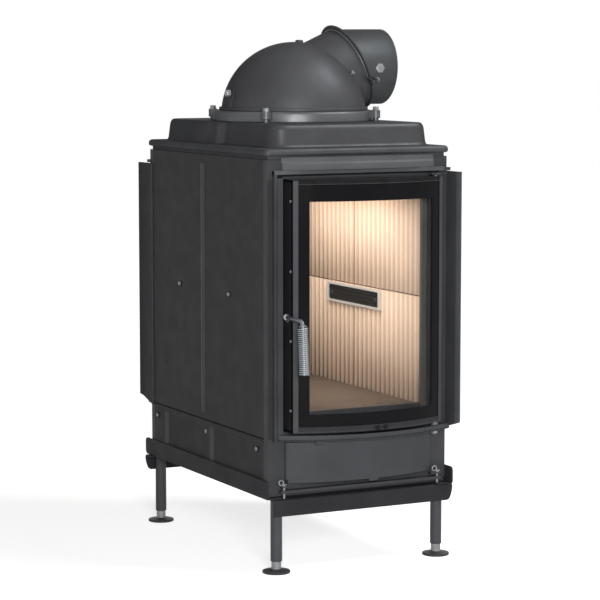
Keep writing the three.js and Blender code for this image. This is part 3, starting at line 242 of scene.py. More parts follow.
plainFinish = {"drift": 0.12, "patch": 9.0, "roughDrift": 0.06, "wipe": 22.0, "grain": 420.0,
               "bump": 0.35, "relief": 0.0003, "metal": 0.0, "shine": 0.3, "edge": 1.0}
iron = {"rough": 0.5, "shine": 0.1, "grain": 380, "bump": 0.35}
cast = {"shine": 0.0, "edge": 0.35, "grain": 330, "bump": 0.25}
sheet = {"grain": 700, "bump": 0.2}
rail = {"grain": 600, "bump": 0.2}
clay = {"rough": 0.9, "shine": 0.05, "patch": 7, "grain": 260, "bump": 0.5, "relief": 0.0004}
finishes = {
    "castIron": {**iron, "colour": (0.061, 0.062, 0.066)},
    "frameIron": {**iron, "colour": (0.054, 0.055, 0.059)},
    # cast iron painted lighter as painted light, for the lintel, the cover below it, the collar lip and the
    # leaf's right side
    "lintelIron": {**iron, "colour": (0.098, 0.100, 0.106), "rough": 0.46, "shine": 0.12, "bump": 0.3},
    "jambPaint": {**iron, "colour": (0.108, 0.102, 0.098), "rough": 0.55, "grain": 500, "bump": 0.3},
    "castTop": {**cast, "colour": (0.078, 0.079, 0.084), "rough": 0.5, "metal": 0.35},
    "hoodIron": {**cast, "colour": (0.068, 0.069, 0.073), "rough": 0.42, "metal": 0.42},
    # a lighter copy of the top's cast iron: a painted highlight on the ring's front
    "litRingIron": {**cast, "colour": (0.122, 0.125, 0.130), "rough": 0.39, "metal": 0.45, "bump": 0.2},
    "outletIron": {**cast, "colour": (0.070, 0.074, 0.077), "rough": 0.48, "metal": 0.32},
    "panelPaint": {**sheet, "colour": (0.041, 0.041, 0.043), "rough": 0.6, "shine": 0.08, "drift": 0.04},
    # darker iron as painted shade on the frames' edge bands and the cheeks' outer faces
    "wingPaint": {**rail, "colour": (0.037, 0.038, 0.040), "rough": 0.58, "shine": 0.08, "drift": 0.04},
    # side paint made lighter: a painted highlight on the bead and on front-leaning slopes
    "beadHighlightPaint": {**sheet, "colour": (0.060, 0.060, 0.062), "rough": 0.5, "shine": 0.12},
    "frontSheet": {**sheet, "colour": (0.062, 0.064, 0.069), "rough": 0.45, "shine": 0.12},
    # the rail paint made lighter for the leg tubes, as painted light
    "litLegPaint": {**rail, "colour": (0.068, 0.070, 0.075), "rough": 0.42, "shine": 0.14},
    "railPaint": {**rail, "colour": (0.032, 0.032, 0.035), "rough": 0.57, "shine": 0.07},
    # near-black for black parts, and as painted shade in gaps, joints and recesses
    "blackInside": {"colour": (0.015, 0.015, 0.016), "rough": 0.7, "shine": 0.05, "grain": 300},
    "slotShadeDark": {"colour": (0.030, 0.029, 0.028), "rough": 0.7, "shine": 0.05, "grain": 300},
    "zincBright": {"colour": (0.24, 0.245, 0.255), "rough": 0.42, "metal": 0.5, "drift": 0.2,
                   "patch": 60, "shine": 0.2, "grain": 900, "bump": 0.2},
    "handleSteel": {"colour": (0.15, 0.155, 0.165), "rough": 0.34, "metal": 0.7, "drift": 0.15,
                    "patch": 30},
    "springSteel": {"colour": (0.345, 0.365, 0.39), "rough": 0.34, "metal": 0.8, "patch": 50},
    "nozzleSteel": {"colour": (0.60, 0.58, 0.55), "rough": 0.42, "metal": 0.4, "drift": 0.08,
                    "patch": 20, "stretch": (1, 1, 14)},
    "fireclay": {**clay, "colour": (0.70, 0.555, 0.435), "drift": 0.05},
    # the fireclay painted darker: painted shade in the flute grooves
    "grooveShadeClay": {**clay, "colour": (0.55, 0.415, 0.32), "drift": 0.06},
    "hearthClay": {**clay, "colour": (0.155, 0.122, 0.098), "rough": 0.85, "shine": 0.08,
                   "drift": 0.1, "patch": 8, "grain": 220},
    "footRubbed": {"colour": (0.040, 0.041, 0.043), "rough": 0.5, "shine": 0.2, "grain": 400},
    "stemSteel": {"colour": (0.33, 0.335, 0.345), "rough": 0.42, "metal": 0.4, "drift": 0.14,
                  "patch": 70, "shine": 0.2, "grain": 160, "stretch": (1, 1, 5)},
    "printedBorder": {"colour": (0.008, 0.008, 0.009), "rough": 0.1, "roughDrift": 0.03,
                      "shine": 0.04, "grain": 90, "bump": 0.02},
}
clearGlass = {"dark": (0.02, 0.02, 0.02), "light": (0.035, 0.034, 0.032), "smokeLow": 0.05,
              "smokeHigh": 0.08, "haze": 6.0, "rough": 0.05, "shine": 0.12}
paint = {name: makeFinish(name, values) for name, values in finishes.items()}
paint["clearGlass"] = makeClearGlass(clearGlass)
print("finishes mixed:", len(paint))


# ---- shaping tools: each returns (points, faces), and build() joins them into a piece
def angles(steps):
    return [2 * math.pi * k / steps for k in range(steps)]


def loft(rings, loop=False):
    count = len(rings[0])
    points = [tuple(p) for ring in rings for p in ring]
    faces = []
    for level in range(len(rings) if loop else len(rings) - 1):
        above = (level + 1) % len(rings)
        for i in range(count):
            j = (i + 1) % count
            faces.append((level * count + i, level * count + j, above * count + j, above * count + i))
    if not loop:
        faces.append(tuple(range(count))[::-1])
        faces.append(tuple(range((len(rings) - 1) * count, len(rings) * count)))
    return points, faces


def prism(outline, low, high, along="z"):
    # outline is (x, y) for z, (y, z) for x and (x, z) for y
    def put(p, level):
        a, b = p
        if along == "z":
            return (a, b, level)
        if along == "x":
            return (level, a, b)
        return (a, level, b)
    return loft([[put(p, low) for p in outline], [put(p, high) for p in outline]])


def block(x0, x1, y0, y1, z0, z1):
    return prism([(x0, y0), (x1, y0), (x1, y1), (x0, y1)], z0, z1)


def square(axis):
    # two directions at right angles to axis
    axis = Vector(axis).normalized()
    first = Vector((0, 0, 1)) if abs(axis.z) < 0.9 else Vector((1, 0, 0))
    first = (first - axis * first.dot(axis)).normalized()
    return first, axis.cross(first)


def ringAt(middle, first, second, radius, steps, turn=0.0):
    return [middle + (first * math.cos(a + turn) + second * math.sin(a + turn)) * radius
            for a in angles(steps)]


def turned(profile, at=(0, 0, 0), axis=(0, 0, 1), steps=64, closed=False):
    # profile is (radius, distance along axis); an open one is capped where its radius is not zero
    axis = Vector(axis).normalized()
    first, second = square(axis)
    return loft([ringAt(Vector(at) + axis * far, first, second, max(radius, 0.001), steps)
                 for radius, far in profile], closed)


def peg(radius, low, high, at, axis=(0, 0, 1), steps=24):
    return turned([(0, low), (radius, low), (radius, high), (0, high)], at, axis, steps)


def hexBolt(at, way, radius=6.0, high=5.0, sides=6, turn=0.0):
    at, way = Vector(at), Vector(way).normalized()
    first, second = square(way)
    return loft([ringAt(at + way * far, first, second, r, sides, turn)
                 for far, r in ((0, radius), (high * 0.8, radius), (high, radius * 0.84))])


def tube(path, radius, steps=16):
    # round bar along a path, with frames carried from point to point
    path = [Vector(p) for p in path]
    last = len(path) - 1
    ways = [(path[min(i + 1, last)] - path[max(i - 1, 0)]).normalized() for i in range(last + 1)]
    first = square(ways[0])[0]
    rings = []
    for p, way in zip(path, ways):
        first = (first - way * first.dot(way)).normalized()
        rings.append(ringAt(p, first, way.cross(first), radius, steps))
    return loft(rings)


def bow(x, half, rise):
    radius = (half * half + rise * rise) / (2 * rise)
    return math.sqrt(radius * radius - x * x) - (radius - rise)


def arc(x0, x1, y, half, rise, steps=56, middle=0.0):
    # front-facing arc over a chord
    xs = [x0 + (x1 - x0) * i / steps for i in range(steps + 1)]
    return [(x, y - bow(x - middle, half, rise)) for x in xs]


def rounded(corners, z, inset=0.0, steps=12):
    pts = []
    for i, (x, y, radius) in enumerate(corners):
        here = Vector((x, y))
        before = Vector(corners[i - 1][:2])
        after = Vector(corners[(i + 1) % len(corners)][:2])
        start = here + (before - here).normalized() * radius
        finish = here + (after - here).normalized() * radius
        for s in range(steps + 1):
            t = s / steps
            pts.append(start * (1 - t) ** 2 + here * 2 * t * (1 - t) + finish * t ** 2)
    ring = []
    for i, p in enumerate(pts):
        along = pts[(i + 1) % len(pts)] - pts[i - 1]
        out = Vector((along.y, -along.x)).normalized()
        ring.append((p.x - out.x * inset, p.y - out.y * inset, z))
    return ring


def mark(part, index):
    return part[0], part[1], index


edges = {"segments": 2, "sharperThan": 38}
joining = {"nearer": 2e-6, "flatter": 1.5}


def dress(obj, bevel, smooth):
    mesh = obj.data
    mesh.polygons.foreach_set("use_smooth", [True] * len(mesh.polygons))
    mesh.set_sharp_from_angle(angle=math.radians(smooth))
    if bevel:
        edge = obj.modifiers.new("edges", "BEVEL")
        edge.width = bevel * 0.001
        edge.segments = edges["segments"]
        edge.limit_method = "ANGLE"
        edge.angle_limit = math.radians(edges["sharperThan"])
        edge.harden_normals = True


def editMesh(mesh, change, source=None):
    bm = bmesh.new()
    bm.from_mesh(source or mesh)
    change(bm)
    bm.to_mesh(mesh)
    bm.free()


def looseSolid(name, parts, turn=1):
    # a part is (points, faces) and may add one look, or a list with a look for each face
    points, faces, marks = [], [], []
    for part in parts:
        start = len(points)
        points += [(p[0] * turn * 0.001, p[1] * turn * 0.001, p[2] * 0.001) for p in part[0]]
        faces += [[i + start for i in face] for face in part[1]]
        look = part[2] if len(part) > 2 else 0
        marks += look if isinstance(look, list) else [look] * len(part[1])
    mesh = bpy.data.meshes.new(name)
    mesh.from_pydata(points, [], faces)
    mesh.polygons.foreach_set("material_index", marks)
    editMesh(mesh, lambda bm: bmesh.ops.recalc_face_normals(bm, faces=bm.faces))
    return newObject(name, mesh)


def finishPiece(obj, looks, body, stands=(), slot=None, bevel=0.0, smooth=35):
    if obj.data.materials:
        obj.data.materials.clear()
    for look in looks:
        obj.data.materials.append(paint[look])
    dress(obj, bevel, smooth)
    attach(obj, body)
    if stands:
        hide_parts(*stands)
    return obj


def build(name, parts, looks, body, stands=(), slot=None, side="front", bevel=0.0, smooth=35):
    return finishPiece(looseSolid(name, parts, -1 if side == "rear" else 1), looks, body, stands,
                       slot, bevel, smooth)


def softenNode(node, look, bevel=1.2, smooth=35):
    # a copy of a plain CAD piece with eased edges
    source = nodes[node]
    mesh = bpy.data.meshes.new(node + "Eased")

    def join(bm):
        bmesh.ops.remove_doubles(bm, verts=bm.verts, dist=joining["nearer"])
        bmesh.ops.dissolve_limit(bm, angle_limit=math.radians(joining["flatter"]), verts=bm.verts,
                                 edges=bm.edges)
    editMesh(mesh, join, source.data)
    mesh.polygons.foreach_set("material_index", [0] * len(mesh.polygons))
    return finishPiece(newObject(node + "Eased", mesh), [look], source["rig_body"], [node], None, bevel,
                       smooth)


def cutWith(obj, parts, operation="DIFFERENCE"):
    cutter = looseSolid("cutter", parts)
    step = obj.modifiers.new("cut", "BOOLEAN")
    step.operation = operation
    step.solver = "EXACT"
    step.object = cutter
    bpy.context.view_layer.update()
    done = bpy.data.meshes.new_from_object(obj.evaluated_get(bpy.context.evaluated_depsgraph_get()))
    obj.modifiers.clear()
    old = obj.data
    obj.data = done
    bpy.data.meshes.remove(old)
    bpy.data.objects.remove(cutter)


# ---- casing: plates, frames and base, eased from the frame's own solids
plainLooks = {
    "frameIron": ["front_frame", "rear_frame"],
    "castIron": ["base_tray", "floor_plate", "front_air_lever", "rear_air_lever"],
    "railPaint": ["base_rail_left", "base_rail_right"],
    "fireclay": ["baffle"],
}
easeOf = {"base_rail_left": 1.6, "base_rail_right": 1.6, "front_frame": 1.4, "rear_frame": 1.4}
# in metres, because it works on a finished piece
shadeBandPlace = {"facing": 0.99, "out": 0.240, "in": 0.2275, "low": 0.318, "high": 0.93}


def paintShadeBand(piece, v):
    # painted shade: a darker band down the outer edge of a frame's front
    piece.data.materials.append(paint["wingPaint"])
    across, up = Vector((1, 0, 0)), Vector((0, 0, 1))

    def cutBand(bm):
        for way, place in ((across, -v["out"]), (across, v["out"]), (up, v["low"]), (up, v["high"])):
            bmesh.ops.bisect_plane(bm, geom=bm.verts[:] + bm.edges[:] + bm.faces[:],
                                   plane_co=way * place, plane_no=way)
        for face in bm.faces:
            middle = face.calc_center_median()
            if (abs(face.normal.y) > v["facing"] and v["in"] < abs(middle.x) < v["out"]
                    and v["low"] < middle.z < v["high"]):
                face.material_index = 1
    editMesh(piece.data, cutBand)


for look, names in plainLooks.items():
    for node in names:
        eased = softenNode(node, look, easeOf.get(node, 1.0))
        if node.endswith("_frame"):
            paintShadeBand(eased, shadeBandPlace)
print("casing plates eased")


# ---- side panels: flat sheets, one beaded, one with sunken fields
panel = {"face": 242, "thick": 6, "end": 320.7, "low": 320, "top": 975, "beadAt": 17, "beadHalf": 10,
         "beadHigh": 3.2, "beadFoot": 336, "beadTop": 954, "bolts": (153, -135), "boltAt": 644,
         "boltRadius": 5.2}
lowerSide = {"low": 187.6, "top": 316, "edge": 8, "topEdge": 10, "deep": 3.4, "slope": 5,
             "farSlope": 20, "ribAt": -8, "ribHalf": 8, "fieldEnd": 258, "bolts": (295, 4, -281),
             "boltAt": 289, "boltRadius": 5.6, "leastLean": 0.1, "mostLean": 0.9}
panelBolt = {"high": 4.6, "sides": 20, "sink": 0.4, "washerFoot": 2.4, "washerTop": 2, "washerHigh": 1.2}
turnOf = {"left": "front", "right": "rear"}


def sideBolt(v, y, z, face, radius):
    x, high = face - v["sink"], v["washerHigh"]
    washer = [(0, 0), (radius + v["washerFoot"], 0), (radius + v["washerTop"], high), (0, high)]
    return [mark(hexBolt((x, y, z), (-1, 0, 0), radius, v["high"], v["sides"]), 1),
            mark(turned(washer, (x + 0.2, y, z), (-1, 0, 0), 28), 2)]


def sidePanelParts(v):
    x, end, at, half = -v["face"], v["end"], v["beadAt"], v["beadHalf"]
    arch = [(x + 0.5, at + half)]
    for k in range(9):
        a = math.pi * k / 8
        arch.append((x - v["beadHigh"] * math.sin(a), at + half * math.cos(a)))
    arch.append((x + 0.5, at - half))
    # the plate, a dark strip behind the joint below it as painted shade, and the bead in a lighter paint as a
    # painted highlight
    parts = [block(x, x + v["thick"], -end, end, v["low"], v["top"]),
             mark(block(x + 2, x + 4, -end + 1, end - 1, v["low"] - 5, v["low"] + 1), 2),
             mark(prism(arch, v["beadFoot"], v["beadTop"]), 3)]
    for y in v["bolts"]:
        parts += sideBolt(panelBolt, y, v["boltAt"], x, v["boltRadius"])
    return parts


def lowerSideSheet(name, v, p, turn):
    x, end = -p["face"], p["end"]
    sheet = looseSolid(name, [block(x, x + p["thick"], -end, end, v["low"], v["top"])])
    z0, z1, slope = v["low"] + v["edge"], v["top"] - v["topEdge"], v["slope"]
    cuts = []
    for y0, y1 in ((v["ribAt"] + v["ribHalf"], v["fieldEnd"]),
                   (-end + v["edge"], v["ribAt"] - v["ribHalf"])):
        cuts.append(loft([[(a, y, z) for y, z in ((b, d), (c, d), (c, e), (b, e))]
                          for a, b, c, d, e in ((x - 1, y0, y1, z0, z1),
                                                (x + v["deep"], y0 + slope, y1 - v["farSlope"],
                                                 z0 + slope, z1 - slope))]))
    cutWith(sheet, cuts)
    if turn < 0:
        sheet.data.transform(Matrix.Rotation(math.pi, 4, "Z"))
    return sheet


def lowerBolts(v, p):
    parts = []
    for y in v["bolts"]:
        deep = 0 if y > v["fieldEnd"] else v["deep"]
        parts += sideBolt(panelBolt, y, v["boltAt"], -p["face"] + deep, v["boltRadius"])
    return parts


for hand, side in turnOf.items():
    build(f"sidePanel_{hand}", sidePanelParts(panel),
          ["panelPaint", "zincBright", "blackInside", "beadHighlightPaint"], "casing",
          [f"side_panel_{hand}"], "sheet_panel", side, bevel=0.6)
    turn = -1 if side == "rear" else 1
    field = finishPiece(lowerSideSheet(f"lowerSide_{hand}", lowerSide, panel, turn),
                        ["panelPaint", "beadHighlightPaint"], "casing", [f"lower_side_{hand}"],
                        "sheet_panel", 0.5, 30)
    # painted highlight: the slopes that lean to the front take the lighter bead paint
    for face in field.data.polygons:
        lean = -face.normal.y * turn
        face.material_index = 1 if lowerSide["leastLean"] < lean < lowerSide["mostLean"] else 0
    build(f"lowerBolts_{hand}", lowerBolts(lowerSide, panel),
          ["handleSteel", "handleSteel", "blackInside"], "casing", [], "zinc_screw", side, bevel=0.4)

trayLip = {"half": 222, "near": -331, "far": -327, "low": 172, "high": 181.2, "fold": 8, "thick": 2}
# painted shade: a black folded lip fills the gap between the tray and the frame
for side in ("front", "rear"):
    near, far, low, high = pick(trayLip, "near far low high")
    fold, under = far + trayLip["fold"], high - trayLip["thick"]
    profile = [(near, low), (near, high), (fold, high), (fold, under), (far, under), (far, low)]
    build(f"{side}TrayLip", [prism(profile, -trayLip["half"], trayLip["half"], "x")],
          ["blackInside"], "casing", [], "cast_frame", side, bevel=0.4)
print("side panels folded")


# ---- fireclay tiles with their flutes
tiles = {"face": 174, "thick": 30, "end": 330, "flutes": 14, "deep": 3, "joint": 0.6,
         "foot": 366.3, "split": 637, "gap": 0.15, "top": 896, "shadeShare": 0.55,
         "chamfer": 1.4, "steps": 12, "narrow": 0.9, "ribFoot": 1.5}


def fluteSide(v, y0, y1, z0, z1):
    # ribs of light clay, with the grooves between them painted darker as painted shade
    x, back = -v["face"], -v["face"] - v["thick"]
    pitch = (y1 - y0) / v["flutes"]
    line, grooveShade = [], []
    for i in range(v["flutes"]):
        for s in range(v["steps"]):
            t = (s + 0.5) / v["steps"]
            hollow = (0.5 - 0.5 * math.cos(2 * math.pi * t)) ** v["narrow"]
            line.append((x - v["deep"] * hollow, y1 - (i + t) * pitch))
            grooveShade.append(hollow > v["shadeShare"])
    low, high = z0 + v["chamfer"], z1 - v["chamfer"]
    # looks by face: 0 rib, 1 groove in painted shade, 2 chamfer
    points, faces, marks = [], [], []
    for z, less in ((z0, v["chamfer"] + 1), (low, 0), (high, 0), (z1, v["chamfer"] + 1)):
        points += [(px - less, py, z) for px, py in line]
    n = len(line)
    for r in range(3):
        for i in range(n - 1):
            faces.append((r * n + i, r * n + i + 1, (r + 1) * n + i + 1, (r + 1) * n + i))
            marks.append(2 if r != 1 else 1 if grooveShade[i] or grooveShade[i + 1] else 0)
    core = block(back, x - v["deep"] - v["ribFoot"], y0, y1, z0, z1)
    return [mark(core, 1), (points, faces, marks)]


for hand, side in turnOf.items():
    for where, y0, y1 in (("near", -tiles["end"], -tiles["joint"]), ("far", tiles["joint"], tiles["end"])):
        for level, z0, z1 in (("low", tiles["foot"], tiles["split"] - tiles["gap"]),
                              ("high", tiles["split"] + tiles["gap"], tiles["top"])):
            name = f"{hand}_{where}_{level}"
            build(f"tile_{name}", fluteSide(tiles, y0, y1, z0, z1),
                  ["fireclay", "grooveShadeClay", "hearthClay"], "casing", [f"firebrick_{name}"],
                  "fireclay", side, smooth=60)
print("fireclay tiles fluted")


# ---- hearth tile with its slots, and the plate that lines each doorway
hearthShape = {"half": 173, "deep": 330, "low": 366.3, "top": 377, "ease": 1.6,
               "slots": ((40, -293, 6), (83, -294, 11), (114, -306, 8)), "slotHalf": 4.5}
liner = {"outX": 182.3, "inX": 173.4, "coverX": 189.8, "low": 352, "high": 908, "foot": 378.5,
         "head": 890, "near": -338.7, "far": -330.3, "cover": (-340.4, -339.1),
         "line": (187.4, 188.6, -340.8, -340.2), "bar": (228, -351.5, -339.2, 941, 950.4),
         "joint": (-220.3, -216.2, 328.5, 936.2, 940.7), "jointY": (-341, -339.1)}


def hearthSolid(v):
    h, d, e = pick(v, "half deep ease")
    rings = [[(-x, -y, z), (x, -y, z), (x, y, z), (-x, y, z)] for x, y, z in
             ((h, d, v["low"]), (h, d, v["top"] - e), (h - e * 0.3, d - e * 0.3, v["top"] - e * 0.3),
              (h - e, d - e, v["top"]))]
    tile = looseSolid("hearthTile", [loft(rings)])
    tools = []
    for turn in (1, -1):
        for x, y, half in v["slots"]:
            plan = [(turn * (x + half * math.cos(a)), turn * (y + v["slotHalf"] * math.sin(a)))
                    for a in angles(20)]
            tools.append(prism(plan, v["low"] - 4, v["top"] + 4))
    cutWith(tile, tools)
    return tile


finishPiece(hearthSolid(hearthShape), ["hearthClay"], "casing", ["hearth"], "hearth_stone")


def linerParts(v):
    inX, low, high, foot, head = pick(v, "inX low high foot head")
    near, far = v["near"], v["far"]
    half, barNear, barFar, barLow, barHigh = v["bar"]
    x0, x1, lineNear, lineFar = v["line"]
    out, edge, jointLow, jointHigh, jointTop = v["joint"]
    # jambs and the covers over them
    parts = [mark(block(a, b, near, far, low, high), 3) for a, b in ((inX, v["outX"]), (-v["outX"], -inX))]
    for a, b in ((inX, v["coverX"]), (-v["coverX"], -inX)):
        parts.append(mark(block(a, b, *v["cover"], low + 1, high - 1), 3))
    # foot, head and the cover over the surround's top bar, painted in the lighter iron as painted light
    # against the shade under the lintel
    parts += [block(-inX - 1, inX + 1, near, far, low, foot), block(-inX - 1, inX + 1, near, far, head, high),
              mark(block(-half, half, barNear, barFar, barLow, barHigh), 2)]
    # dark joints beside the jambs, and dark strips as painted shadow in the gap round the collar
    for a, b in ((x0, x1), (-x1, -x0)):
        parts.append(mark(block(a, b, lineNear, lineFar, foot, head), 1))
    parts.append(mark(block(out, edge, *v["jointY"], jointLow, jointHigh), 1))
    parts.append(mark(block(out, -out, *v["jointY"], jointHigh + 0.2, jointTop), 1))
    return parts


for side in ("front", "rear"):
    build(f"{side}DoorwayLiner", linerParts(liner),
          ["castIron", "blackInside", "lintelIron", "jambPaint"], "casing", [], "cast_frame", side,
          bevel=0.5)
print("hearth and doorway liners laid")


# ---- air nozzles on the tiles
nozzle = {"face": 173.7, "proud": 6, "half": 140, "low": 583, "high": 633, "rim": 8.5, "rimHigh": 5.5,
          "slats": 3, "screwIn": 26}


def nozzleParts(v):
    x0, x1 = -v["face"], -v["face"] + v["proud"]
    h, r, t, low, high = pick(v, "half rim rimHigh low high")
    slot = h - r + 1
    # painted shade: a dark plate fills the slot behind the slats
    parts = [block(x0, x1, -h, h, low, low + t), block(x0, x1, -h, h, high - t, high),
             block(x0, x1, -h, -h + r, low + t, high - t), block(x0, x1, h - r, h, low + t, high - t),
             mark(block(x0, x0 + 1.6, -slot, slot, low + t - 1, high - t + 1), 1)]
    pitch = (high - low - 2 * t) / (v["slats"] + 1)
    for i in range(v["slats"]):
        z = low + t + pitch * (i + 1)
        parts.append(mark(block(x0 + 1, x1 - 2, -slot, slot, z - 1.4, z + 1.4), 2))
    for y in (-h + v["screwIn"], h - v["screwIn"]):
        parts.append(mark(hexBolt((x0 + 1, y, (low + high) / 2), (1, 0, 0), 4, 3.4, 12), 3))
    return parts


for hand, side in turnOf.items():
    build(f"nozzle_{hand}", nozzleParts(nozzle),
          ["nozzleSteel", "slotShadeDark", "blackInside", "castIron"], "casing",
          [f"air_nozzle_{hand}"], "nozzle_steel", side, bevel=0.8)
print("air nozzles set")


# ---- one door front, built for both sides
front = {"face": -339, "sink": 0.3, "halfWidth": 242, "collarLeft": -216, "collarStrip": 14,
         "collarPlate": 5, "collarHigh": 936, "collarHead": 4, "ledgeLow": 314, "ledgeHigh": 328,
         "ledgeThick": 5, "ledgeHalf": 241, "ledgeReach": 68, "cheekRoot": 14, "cheekReach": 59,
         "cheekThick": 4, "cheekSplay": 5, "cheekLow": 333, "cheekFoot": 311, "cheekHigh": 939.5,
         "cheekLip": 13}
leaf = {"half": 200, "low": 336, "high": 930, "back": 2, "plate": 4, "flange": 10, "reach": 53, "bow": 46,
        "wall": 4, "bayLow": 339, "bayHigh": 929, "glassLow": 353, "glassHigh": 920, "edge": 11,
        "glassThick": 5, "clearHalf": 164, "clearLow": 382, "clearHigh": 880, "notch": 12, "lip": 8,
        "clips": ((-150, 926), (22, 926), (0, 345.5), (22, 345.5)), "screws": 4}
hinge = {"x": 200.2, "y": -359, "pin": 4, "barrel": 7, "long": 29, "root": -344.3}
lintelShape = {"low": 950.5, "proud": 5, "bow": 20, "half": 206, "end": 203, "backHalf": 205,
               "levels": ((0, 0), (13, 0), (15.5, 1), (18, 3.5), (20, 4), (29.5, 4))}
apronShape = {"half": 196, "bow": 34, "low": 212, "high": 309.5, "thick": 5, "lugDeep": 18,
              "screws": (-203, 214), "screwY": -350, "screwLow": 177.5,
              "tab": (12, 36, -376.5, -371.5, 206, 214)}


def lintelParts(v, f):
    back, face = f["face"] - f["sink"], f["face"] - v["proud"]
    end, out = v["end"], v["backHalf"]
    return [loft([[(x, y, v["low"] + up) for x, y in
                   [(-out, back)] + arc(-end, end, face + less, v["half"], v["bow"]) + [(out, back)]]
                  for up, less in v["levels"]])]


def collarParts(v):
    face, thick, splay = pick(v, "face cheekThick cheekSplay")
    back, plate, root = face - v["sink"], face - v["collarPlate"], face + v["cheekRoot"]
    x, out = v["halfWidth"] + v["sink"], face - v["cheekReach"]
    bend = out + v["cheekLip"]
    plan = [(x, root), (x, bend), (x + splay, out), (x + splay + thick, out + 2), (x + thick, bend),
            (x + thick, root)]
    slope = (v["cheekLow"] - v["cheekFoot"]) / v["cheekReach"]
    foot = [(a, b, v["cheekFoot"] + max(0.0, face - b) * slope) for a, b in plan]
    # inside, lip, edge, outside of the lip, outside, end, foot and head
    # the lip takes the lighter iron as a painted highlight, and the outside faces the darker wing paint as
    # painted shade
    cheek = mark(loft([foot, [(a, b, v["cheekHigh"]) for a, b in plan]]), [0, 2, 0, 1, 1, 0, 0, 0])
    left, right, low, high = v["collarLeft"], x + 1, v["ledgeLow"], v["collarHigh"]

    def ledge(x0, inset):
        return arc(x0, right, plate - 1 + inset, v["ledgeHalf"], v["ledgeReach"], 64, left + v["ledgeHalf"])
    deck = [(left, back)] + ledge(left, 0) + [(right, back)]
    lip = ledge(left, 0) + ledge(left + 1, v["ledgeThick"])[::-1]
    return [cheek, block(left, left + v["collarStrip"], plate, back, low, high),
            block(left, right, plate, back, high - v["collarHead"], high),
            prism(deck, low, low + v["ledgeThick"]), prism(lip, low + 0.5, v["ledgeHigh"])]


def leafParts(v, f, h):
    half, wall, low, high, rim = pick(v, "half wall low high flange")
    back, bay = f["face"] - v["back"], f["face"] - v["reach"]
    flange, bayLow, bayHigh, long = back - v["plate"], v["bayLow"], v["bayHigh"], h["long"]
    cornerLow, cornerHigh = low + 11, high - 15
    cutX, cutY = h["x"] - v["notch"], h["y"] - v["notch"]

    def bowed(x0, x1, deeper=0.0, steps=56):
        return arc(x0, x1, bay + deeper, half, v["bow"], steps)
    notched = [(-half, back)] + bowed(-half, half) + [(half, cutY), (cutX, cutY), (cutX, back)]
    # flange, side walls, head and foot of the bay; the left flange strip and side wall are painted black as
    # painted shade, the right ones in the lighter iron as painted light
    parts = [mark(block(-half, -half + rim, flange, back, low, high), 2),
             mark(block(half - rim, half, flange, back, low, high), 3),
             block(-half, half, flange, back, low, low + 8),
             block(-half, half, flange, back, high - 5, high),
             mark(block(-half, -half + wall, bay + 1.5, back, bayLow, bayHigh), 2),
             mark(block(half - wall, half, bay + 1.5, back, cornerLow, cornerHigh), 3),
             mark(prism(notched, bayHigh - wall, bayHigh), 2), prism(notched, bayLow, bayLow + wall)]
    for z0, z1 in ((bayLow, cornerLow), (cornerHigh, bayHigh)):
        parts.append(block(half - wall, half, bay, cutY, z0, z1))
        parts.append(block(cutX - 6, cutX, cutY - 5, back, z0, z1))
    # glass holders and the bowed lips above and below the glass
    for x0, x1 in ((-half, -half + v["edge"]), (half - v["edge"], half)):
        parts.append(prism(bowed(x0, x1, 0, 6) + bowed(x0, x1, 9, 6)[::-1], bayLow, bayHigh))
    lip = bowed(-half + 2, half - 2) + bowed(-half + 2, half - 2, v["lip"])[::-1]
    ridge = v["glassHigh"] + 1.2
    parts += [mark(prism(lip, bayLow, v["glassLow"]), 4), mark(prism(lip, ridge, bayHigh), 2),
              prism(lip, v["glassHigh"], ridge)]
    # clips that hold the glass
    for x, z in v["clips"]:
        y = bay - bow(x, half, v["bow"])
        head = [(0, 0), (5, 0), (5, 2.6), (3.6, 4), (0, 4)]
        parts += [mark(turned(head, (x, y, z), (0, -1, 0), 20), 2),
                  mark(block(x - 9, x + 3, y - 1.6, y + 2, z - 2.2, z + 2.2), 2)]
    # hinge barrels
    pin, barrel = h["pin"], h["barrel"]
    for z in (cornerHigh - long, cornerLow):
        parts += [turned([(pin, z), (barrel - 0.6, z), (barrel, z + 0.6), (barrel, z + long - 0.6),
                          (barrel - 0.6, z + long), (pin, z + long)], (h["x"], h["y"], 0), steps=32,
                         closed=True),
                  block(half - 5, half, h["y"], flange + 1, z, z + long)]
    # screws of the glass holders
    pitch = (bayHigh - bayLow - 100) / (v["screws"] - 1)
    for i in range(v["screws"]):
        for hand in (-1, 1):
            at = (hand * (half - 0.2), f["face"] - 42, bayLow + 52 + i * pitch)
            parts.append(mark(hexBolt(at, (hand, 0, 0), 3.6, 3.1, 16), 1))
    return parts


def glassParts(v, f):
    # one pane: printed border round a clear window
    face, window, edge = f["face"] - v["reach"] + 2, v["clearHalf"], v["half"] - v["edge"] + 5
    xs = [-edge + (edge - window) * i / 4 for i in range(4)]
    xs += [-window + 2 * window * i / 48 for i in range(49)]
    xs += [window + (edge - window) * (i + 1) / 4 for i in range(4)]
    zs = [v["glassLow"] - 4, v["clearLow"], v["clearHigh"], v["glassHigh"] + 4]

    def pane(clear, deeper):
        points, faces = [], []
        for a in range(len(xs) - 1):
            for b in range(3):
                if (b == 1 and 4 <= a < 52) != clear:
                    continue
                n = len(points)
                for x, z in ((xs[a], zs[b]), (xs[a + 1], zs[b]), (xs[a + 1], zs[b + 1]), (xs[a], zs[b + 1])):
                    points.append((x, face - bow(x, v["half"], v["bow"]) + deeper, z))
                faces.append((n, n + 1, n + 2, n + 3))
        return points, faces
    return [[pane(clear, deeper) for deeper in (0, v["glassThick"])] for clear in (False, True)]


